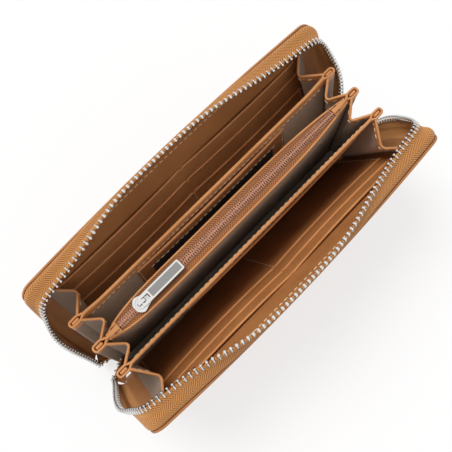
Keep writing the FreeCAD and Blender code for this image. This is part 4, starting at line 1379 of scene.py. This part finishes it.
def gusset(end, side, fold, seed):
    stem = f"{end}_{side}_{fold}_gusset"
    fold_line, count = joint_line(f"{stem}_fold", FOLD_TOP), 12
    lines = [inner_line(end, side, fold), fold_line, outer_line(end, side, fold)]
    foot_path, top_path = (v_path(*[line[k] for line in lines], count) for k in (0, 1))
    stations = sideways(list(zip(top_path, foot_path)))
    if stations[count][2].x * ENDS[end] > 0:
        stations = [(top, foot, -normal) for top, foot, normal in stations]
    section, tags = bound_section(70, GUSSET_HALF_THICK, GUSSET_RIM, GUSSET_BAND, band_half=0.5,
                                  sides=(True, False))

    def belly(t, share):
        edges = math.sin(math.pi * held(t)) * smooth(share * 6)
        waves = math.sin(9 * t + 5 * share + seed) + 0.6 * math.sin(23 * t - 7 * share + 2 * seed)
        return CRINKLE * edges * waves

    cloth, cut = [TAUPE, HIGHLIT_RIM_LEATHER, GUSSET_CLOTH], count // 2
    sewn_body, free_body, parent = f"{stem}_sewn_half", f"{stem}_free_half", joints[f"{stem}_seam"]["parent"]
    share = cut / (len(stations) - 1)
    sewn = bound_sheet(f"{stem}_seam_sheet", stations[:cut + 1], section, tags, cloth,
                       lambda t, u: belly(t * share, u))
    free = bound_sheet(f"{stem}_fold_sheet", stations[cut:], section, tags, cloth,
                       lambda t, u: belly(share + t * (1 - share), u))
    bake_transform(sewn)
    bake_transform(free)
    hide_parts(sewn_body)
    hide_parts(free_body)
    return stations


gusset_paths = {}
for number, key in enumerate((e, s, f) for e in ENDS for s in SIDES for f in ("inner", "outer")):
    gusset_paths[key] = gusset(*key, number * 1.7)
print("gussets:", len(gusset_paths))

# %% [markdown]
# ## Coin pocket
# Two walls stand on the spine, pinched at both ends and full in the middle. Leather is
# rolled over their tops. Between them lie two strips of tape, and the coil down the middle.
# %% Coin pocket walls
COIN_FOOT_HALF, COIN_END_HALF, COIN_MIDDLE_HALF, SPINE_TOP = 1.3, 1.9, 6.3, 1.6


def coin_half(x, height):
    rise = (height - SPINE_TOP) / (COIN_TOP - SPINE_TOP)
    ends = COIN_FOOT_HALF + (COIN_END_HALF - COIN_FOOT_HALF) * rise
    middle = COIN_FOOT_HALF + (COIN_MIDDLE_HALF - COIN_FOOT_HALF) * rise
    blunt = 8 if x < 0 else 3.5  # the end with the slider is held open
    return ends + (middle - ends) * (1 - abs(x / COIN_HALF_LENGTH) ** blunt)


def coin_wall(side):
    sign = SIDES[side]
    stations = []
    for u in share_columns(90):
        x = u * (COIN_HALF_LENGTH + 1.5)
        inside = min(max(x, -COIN_HALF_LENGTH), COIN_HALF_LENGTH)
        stations.append((at(x, sign * (coin_half(inside, COIN_TOP) - 0.6), COIN_TOP - 0.6),
                         at(x, sign * (coin_half(inside, SPINE_TOP) - 0.5), SPINE_TOP)))
    section, tags = bound_section(80, half=0.45, rim=0.62, band_drop=1.8, band_half=0.55)
    wall = bound_sheet(f"coin_{side}_wall_sheet", sideways(stations), section, tags,
                       [TAUPE, HIGHLIT_RIM_LEATHER, TAUPE])
    return dress(wall, "root", "lining_leather", f"coin_pocket_{side}_wall")


coin_walls = [coin_wall(side) for side in SIDES]
print("coin pocket walls:", [wall.name for wall in coin_walls])

# %% Coin zip tape
COIL_HALF_LENGTH, COIL_PITCH, COIL_REACH = 80.0, 1.27, 1.9
COIN_TAPE_UP = 81.35


def coin_tape(side):
    sign = SIDES[side]
    columns = evenly(-COIL_HALF_LENGTH - 1, COIL_HALF_LENGTH + 1, 70)
    front, back, cut = [], [], []
    outside = [coin_half(x, COIN_TOP) - 1.3 for x in columns]
    for t in evenly(0, 1, 7):
        z = COIN_TAPE_UP + 0.5 * t * t
        spots = [(x, COIL_REACH - 0.2 + (edge - COIL_REACH + 0.2) * t) for x, edge in zip(columns, outside)]
        front.append([at(x, sign * y, z) for x, y in spots])
        back.append([at(x, sign * y, z - 0.4) for x, y in spots])
        cut += spots
    tape = solid(f"coin_zip_{side}_weave", [p for row in front + back for p in row],
                 sheet_faces(len(front), len(columns)), [COIN_TAPE], cut=cut + cut)
    return dress(tape, "root", "zip_tape", f"coin_zip_{side}_tape")


coin_tapes = [coin_tape(side) for side in SIDES]
print("coin zip tapes:", [tape.name for tape in coin_tapes])

# %% [markdown]
# The coil is one nylon wire wound flat. From above each turn shows as a short bar that
# swells at the middle, where it hooks into the other side. A tree copies one turn along a
# line, with its pitch and count as inputs.
# %% Coil
COIL_WIRE, COIL_UP = 0.31, 81.9


def turn_shape():
    """One turn of the coil: out over the top, round the head, and back below."""
    path = ((0.0, 2.0, 0.35), (0.0, 1.1, 0.62), (0.05, 0.25, 0.66), (0.15, -0.28, 0.35),
            (0.25, -0.32, -0.2), (0.4, 0.2, -0.5), (0.6, 1.9, -0.5))
    points = smooth_path([Vector(p) for p in path], 13)
    rings = []
    for k, p in enumerate(points):
        ahead = (points[min(k + 1, len(points) - 1)] - points[max(k - 1, 0)]).normalized()
        side_way = ahead.cross(Vector((1, 0, 0))).normalized()
        other = ahead.cross(side_way)
        girth = COIL_WIRE * (1.25 if 3 < k < 8 else 1.0)
        rings.append([(p + side_way * math.cos(t) * girth + other * math.sin(t) * girth * 1.1) * MM
                      for t in evenly(0, 2 * math.pi, 7)[:-1]])
    return stencil(loft("turn_shape", rings, []))


def coil_tree():
    tree, given, result = new_tree("coil_row", {
        "Shape": "NodeSocketObject", "Pitch": "NodeSocketFloat", "Count": "NodeSocketInt",
        "Material": "NodeSocketMaterial"})
    line = tree.nodes.new("GeometryNodeMeshLine")
    offset = tree.nodes.new("ShaderNodeCombineXYZ")
    placed = copies(tree, given)
    tree.links.new(given.outputs["Pitch"], offset.inputs["X"])
    tree.links.new(given.outputs["Count"], line.inputs["Count"])
    tree.links.new(offset.outputs["Vector"], line.inputs["Offset"])
    chain(tree, line, placed)
    closing(tree, given, placed, result)
    return tree


TURN, COIL_ROW = turn_shape(), coil_tree()


def coil(side, shift):
    count = int(2 * COIL_HALF_LENGTH / COIL_PITCH)
    row = new_object(f"coin_zip_{side}_turns", bpy.data.meshes.new(f"coin_zip_{side}_turns"))
    grown(row, COIL_ROW, Shape=TURN, Pitch=COIL_PITCH * MM, Count=count, Material=NYLON)
    row.data.transform(Matrix.Translation(at(-COIL_HALF_LENGTH + shift, 0, COIL_UP))
                       @ Matrix.Diagonal((1, SIDES[side], 1, 1)))
    tidy(row.data)
    return dress(row, "root", "nylon_coil", f"coin_zip_{side}_coil")


coils = [coil("left", 0.3), coil("right", 0.3 + COIL_PITCH / 2)]
print("coil faces:", [len(row.data.polygons) for row in coils])

# %% [markdown]
# A leather wedge covers each end of the coin zip. It is domed across, and narrows to the
# neck of the loop.
# %% End tabs
TAB_START, TAB_END = {"near": 80.0, "far": 77.0}, 89.0
TAB_CROWN = 84.1  # height of a tab's ridge


def end_tab(end):
    sign, start = ENDS[end], TAB_START[end]
    front, back = [], []
    for x in evenly(start, TAB_END, 18):
        t = (x - start) / (TAB_END - start)
        half = (coin_half(sign * start, COIN_TOP) + 0.1) * (1 - t) + 0.9 * t
        crown = TAB_CROWN - 0.4 * t
        drop = 1.7 + 0.9 * t
        row = [(v * half, crown - drop * abs(v) ** 2.4) for v in evenly(-1, 1, 17)]
        front.append([at(sign * x, y, z) for y, z in row])
        back.append([at(sign * x, y * 0.86, z - 0.8) for y, z in row])
    tab = slab(f"coin_{end}_wedge", front, back, [HIGHLIT_RIM_LEATHER], rim=0.22)
    dress(tab, "root", "lining_leather", f"coin_zip_{end}_tab")
    rows = [[at(sign * x, y, 84.0 - 0.35 * abs(y) / 1.5) for x in (start + 1.0, start + 3.0)]
            for y in (-1.5, 1.5)]
    stitches(f"coin_{end}_wedge_stitches", rows, "root", 30, pitch=1.9, thread=BROWN_THREAD)
    return tab


tabs = [end_tab(end) for end in ENDS]
print("tabs:", [tab.name for tab in tabs])

# %% Spine lining
spine_half = COVER_HINGE[0] - 1.6
spine_rows = evenly(-spine_half, spine_half, 9)
spine_columns = evenly(-SPINE_HALF_LENGTH + 1, SPINE_HALF_LENGTH - 1, 30)
spine_grids = [[[at(x, y, z) for x in spine_columns] for y in spine_rows]
               for z in (LEATHER + LINING, LEATHER)]
spine = slab("spine_lining_strip", *spine_grids, [TAUPE], rim=0.1)
dress(spine, "root", "lining_fabric", "spine_lining")
print("spine lining:", spine.dimensions / MM)


# %% Stitches on the gussets
STITCH_DROP, STITCH_LIFT = 3.0, 0.52  # below the gusset's edge, and off its middle
LEG_END = 8  # station where the stitches on the first leg end, and half the one where the others start


def gusset_stitches(end, side, fold, seed):
    stations = gusset_paths[end, side, fold]
    stem = f"{end}_{side}_{fold}_gusset"
    row = []
    for top, foot, normal in stations:
        down = (foot - top).normalized()
        row.append(top + down * STITCH_DROP * MM + normal * STITCH_LIFT * MM)
    stitches(f"{stem}_seam_stitches", [row[1:LEG_END]], f"{stem}_sewn_half", seed)
    stitches(f"{stem}_fold_stitches", [row[2 * LEG_END:-2]], f"{stem}_free_half", seed + 1)


for number, key in enumerate(gusset_paths):
    gusset_stitches(*key, 40 + 2 * number)

# %% [markdown]
# ## Sliders and pulls
# Cast metal parts are cut as plates from flat outlines: a filled curve makes the face, its
# extrusion the thickness, and its bevel the rounded edge that catches the light.
# %% Metal plates
def outline_of(half_length, half_width, corner, centre=0.0):
    """A rectangle with round corners, as a list of points."""
    points, steps = [], 5
    for quarter, (sx, sy) in enumerate(((1, 1), (-1, 1), (-1, -1), (1, -1))):
        for k in range(steps + 1):
            t = math.pi / 2 * (quarter + k / steps)
            points.append((centre + sx * (half_length - corner) + corner * math.cos(t),
                           sy * (half_width - corner) + corner * math.sin(t)))
    return points


def plate(name, outlines, low, high, edge, material):
    """A flat plate with holes, between two heights, with round edges."""
    curve = bpy.data.curves.new(name, "CURVE")
    curve.dimensions, curve.fill_mode = "2D", "BOTH"
    curve.extrude, curve.bevel_depth = ((high - low) / 2 - edge) * MM, edge * MM
    curve.bevel_resolution = 2
    for points in outlines:
        line = curve.splines.new("POLY")
        line.points.add(len(points) - 1)
        for spot, (x, y) in zip(line.points, points):
            spot.co = (x * MM, y * MM, 0, 1)
        line.use_cyclic_u = True
    holder = bpy.data.objects.new(name, curve)
    bpy.context.scene.collection.objects.link(holder)
    mesh = bpy.data.meshes.new_from_object(holder.evaluated_get(bpy.context.evaluated_depsgraph_get()))
    bpy.data.objects.remove(holder)
    mesh.transform(Matrix.Translation((0, 0, (high + low) / 2 * MM)))
    mesh.materials.clear()
    return new_object(name, tidy(mesh, 40), [material])


def shield(front, tail, length):
    """Outline of a slider: broad shoulders near the nose, narrowing to the tail."""
    half = length / 2
    side_points = ((-half, tail * 0.55), (-half + 0.9, tail * 1.05), (-half + 0.32 * length, front),
                   (0.2 * length, tail * 1.12), (half - 0.5, tail * 0.92), (half, tail * 0.5))
    way = smooth_path([Vector(p) for p in side_points], 20)
    return [(p.x, p.y) for p in way] + [(p.x, -p.y) for p in way[::-1]]


TAG_HALF, TAG_EYE, TAG_RIM, TAG_BAR = 2.9, 4.6, 0.8, 0.45  # half width, eye, border, half the bar


def tag(name, length):
    """A flat pull along +x: a thin plate, a raised border and an open eye round the lug."""
    outer = outline_of((length + TAG_BAR) / 2, TAG_HALF, 0.7, centre=(length - TAG_BAR) / 2)
    hole = outline_of(TAG_EYE / 2, TAG_HALF - 1.5, 0.4, centre=TAG_BAR + TAG_EYE / 2)
    start, stop = TAG_BAR + TAG_EYE + TAG_RIM, length - TAG_RIM
    dish = outline_of((stop - start) / 2, TAG_HALF - TAG_RIM, 0.35, centre=(stop + start) / 2)
    # the recessed plate: darker patina, deepened as painted shade and reflection
    base = plate(f"{name}_base", [outer, hole], -0.32, 0.2, 0.1, RECESS_PATINA_AND_SHADE)
    border = plate(f"{name}_border", [outer, hole, dish], -0.5, 0.5, 0.13, METAL)
    return joined(name, [base, border])


def lug(name, face, rise, material):
    """The arch on a slider that the pull's bar hangs in."""
    arch = [Vector((-2.6, 0)), Vector((-2.3, rise * 0.75)), Vector((-1.2, rise)), Vector((1.0, rise)),
            Vector((2.2, rise * 0.8)), Vector((2.6, 0))]
    rings = []
    wide = 0.85
    for p in smooth_path(arch, 17):
        rings.append([at(p.x * f, y, face + p.y * f + lift) for f, y, lift in
                      ((1, -wide, 0), (1, -wide * 0.6, 0.16), (1, wide * 0.6, 0.16), (1, wide, 0),
                       (0.78, wide * 0.9, 0), (0.78, -wide * 0.9, 0))])
    return loft(name, rings, [material])


# %% Both sliders and pulls
SLIDER_LENGTH, SLIDER_FRONT, SLIDER_TAIL, SLIDER_GAP = 9.0, 4.2, 2.8, 2.6
COIN_SLIDER_X, SLIDER_TOP, PULL_RISE = -64.0, 83.9, 1.0


def placed(piece, matrix, body, node_name):
    piece.data.transform(matrix)
    return dress(piece, body, "zip_metal", node_name)


def slider(name, keel_half):
    """A slider with its outer face at z = 0. keel_half is its lower plate's share of the width."""
    outline = shield(SLIDER_FRONT, SLIDER_TAIL, SLIDER_LENGTH)
    inset = [(x * 0.72, y * 0.6) for x, y in outline]
    keel = [(x, y * keel_half) for x, y in outline]
    parts = [plate(f"{name}_face", [outline], -1.0, -0.1, 0.28, METAL),
             plate(f"{name}_crown", [inset], -0.4, 0.3, 0.3, METAL),
             plate(f"{name}_keel", [keel], -SLIDER_GAP - 2.0, -SLIDER_GAP - 1.0, 0.2, METAL),
             plate(f"{name}_post", [outline_of(1.6, 0.5, 0.3, centre=-2.6)],
                   -SLIDER_GAP - 1.2, -0.8, 0.1, METAL),
             lug(f"{name}_lug", 0.2, 2.0, METAL)]
    return joined(name, parts)


placed(slider("coin_zip_slider", 0.55),
       Matrix.Translation(at(COIN_SLIDER_X, 0, SLIDER_TOP)), "coin_slider", "coin_slider")
coin_pull = placed(tag("coin_zip_pull", 27.0),
                   Matrix.Translation(at(COIN_SLIDER_X, 0, SLIDER_TOP + PULL_RISE)), "coin_pull", "coin_pull")
axis_point = Vector(joints["main_pull_hinge"]["pos_m"])
face_point = Vector((axis_point.x - PULL_RISE * MM, 0, 5.5 * MM))
upright = Matrix.Translation(face_point) @ Matrix.Rotation(math.radians(90), 4, "Y")
placed(slider("long_zip_slider", 1.0), upright, "root", "main_slider")
hanging = Matrix.Translation(axis_point) @ Matrix.Rotation(math.radians(12), 4, "Y")
placed(tag("long_zip_pull", 20.0), hanging, "main_pull", "main_pull")
print("pull:", coin_pull.dimensions / MM)

# %% [markdown]
# ## Stage, light and camera
# The wallet stands on a white floor under one broad light, high and a little behind its left
# cover, and a white sky. The floor glows a little for the camera, so that its shadow stays
# faint, as in a shop picture. The camera looks steeply down along the near right corner.
# %% Stage
FLOOR_GLOW = 0.7
FLOOR_HALF, FLOOR_THICK, FLOOR_DROP = 2, 0.02, 0.02 * MM  # metres


def seen_directly(tree):
    """1 for rays from the camera, and for what metal and film reflect."""
    seen = node(tree, "ShaderNodeLightPath")
    direct = math_of(tree, "MAXIMUM", seen.outputs["Is Camera Ray"], seen.outputs["Is Glossy Ray"])
    return math_of(tree, "MAXIMUM", direct, seen.outputs["Is Transmission Ray"])


def floor_white():
    material, tree, shader = finish("floor_white", (0.97, 0.97, 0.97), 0.9)
    glow = node(tree, "ShaderNodeEmission", Strength=1.0)
    mix = node(tree, "ShaderNodeMixShader")
    feed(tree, mix.inputs["Fac"], band(tree, seen_directly(tree), 0, 1, 0.0, FLOOR_GLOW))
    tree.links.new(shader.outputs["BSDF"], mix.inputs[1])
    tree.links.new(glow.outputs["Emission"], mix.inputs[2])
    tree.links.new(mix.outputs["Shader"], tree.nodes["Material Output"].inputs["Surface"])
    return material


grids = [[[Vector((x, y, depth)) for x in (-FLOOR_HALF, FLOOR_HALF)] for y in (-FLOOR_HALF, FLOOR_HALF)]
         for depth in (-FLOOR_DROP, -FLOOR_THICK)]
floor = slab("floor", *grids, [floor_white()], rim=0)

SKY, SUN, SUN_UP, SUN_SIZE = 0.56, 1.75, 66, 30
world = bpy.data.worlds.new("studio")
bpy.context.scene.world = world
world.use_nodes = True
sky = world.node_tree
feed(sky, sky.nodes["Background"].inputs["Strength"], band(sky, seen_directly(sky), 0, 1, SKY, 1.0))
sky.nodes["Background"].inputs["Color"].default_value = (1, 1, 1, 1)

lamp = bpy.data.lights.new("window", "SUN")
lamp.energy, lamp.angle = SUN, math.radians(SUN_SIZE)
window = bpy.data.objects.new("window", lamp)
bpy.context.scene.collection.objects.link(window)
window.visible_glossy = False  # metal shows the white room, and not the lamp itself
towards = Vector((-0.12, math.cos(math.radians(SUN_UP)), math.sin(math.radians(SUN_UP))))
window.rotation_mode = "QUATERNION"
window.rotation_quaternion = (-towards).to_track_quat("-Z", "Y")

# %% Camera
CAMERA_AZIMUTH, CAMERA_ELEVATION, CAMERA_DISTANCE = -46.0, 75.0, 368.0
CAMERA_AIM = at(-2.76, 1.76, 60.0)
FOCAL_PIXELS, IMAGE_SIDE, SENSOR = 678.7, 452, 36.0
azimuth, elevation = math.radians(CAMERA_AZIMUTH), math.radians(CAMERA_ELEVATION)
level = math.cos(elevation)
back = Vector((math.sin(azimuth) * level, -math.cos(azimuth) * level, math.sin(elevation)))
camera = bpy.data.objects.new("camera", bpy.data.cameras.new("camera"))
bpy.context.scene.collection.objects.link(camera)
camera.data.lens, camera.data.sensor_width = FOCAL_PIXELS / IMAGE_SIDE * SENSOR, SENSOR
camera.location = CAMERA_AIM + back * CAMERA_DISTANCE * MM
camera.rotation_mode = "QUATERNION"
camera.rotation_quaternion = (-back).to_track_quat("-Z", "Y")
camera.data.clip_start, camera.data.clip_end = 0.01, 20
bpy.context.scene.camera = camera
bpy.context.scene.view_settings.view_transform = "Standard"
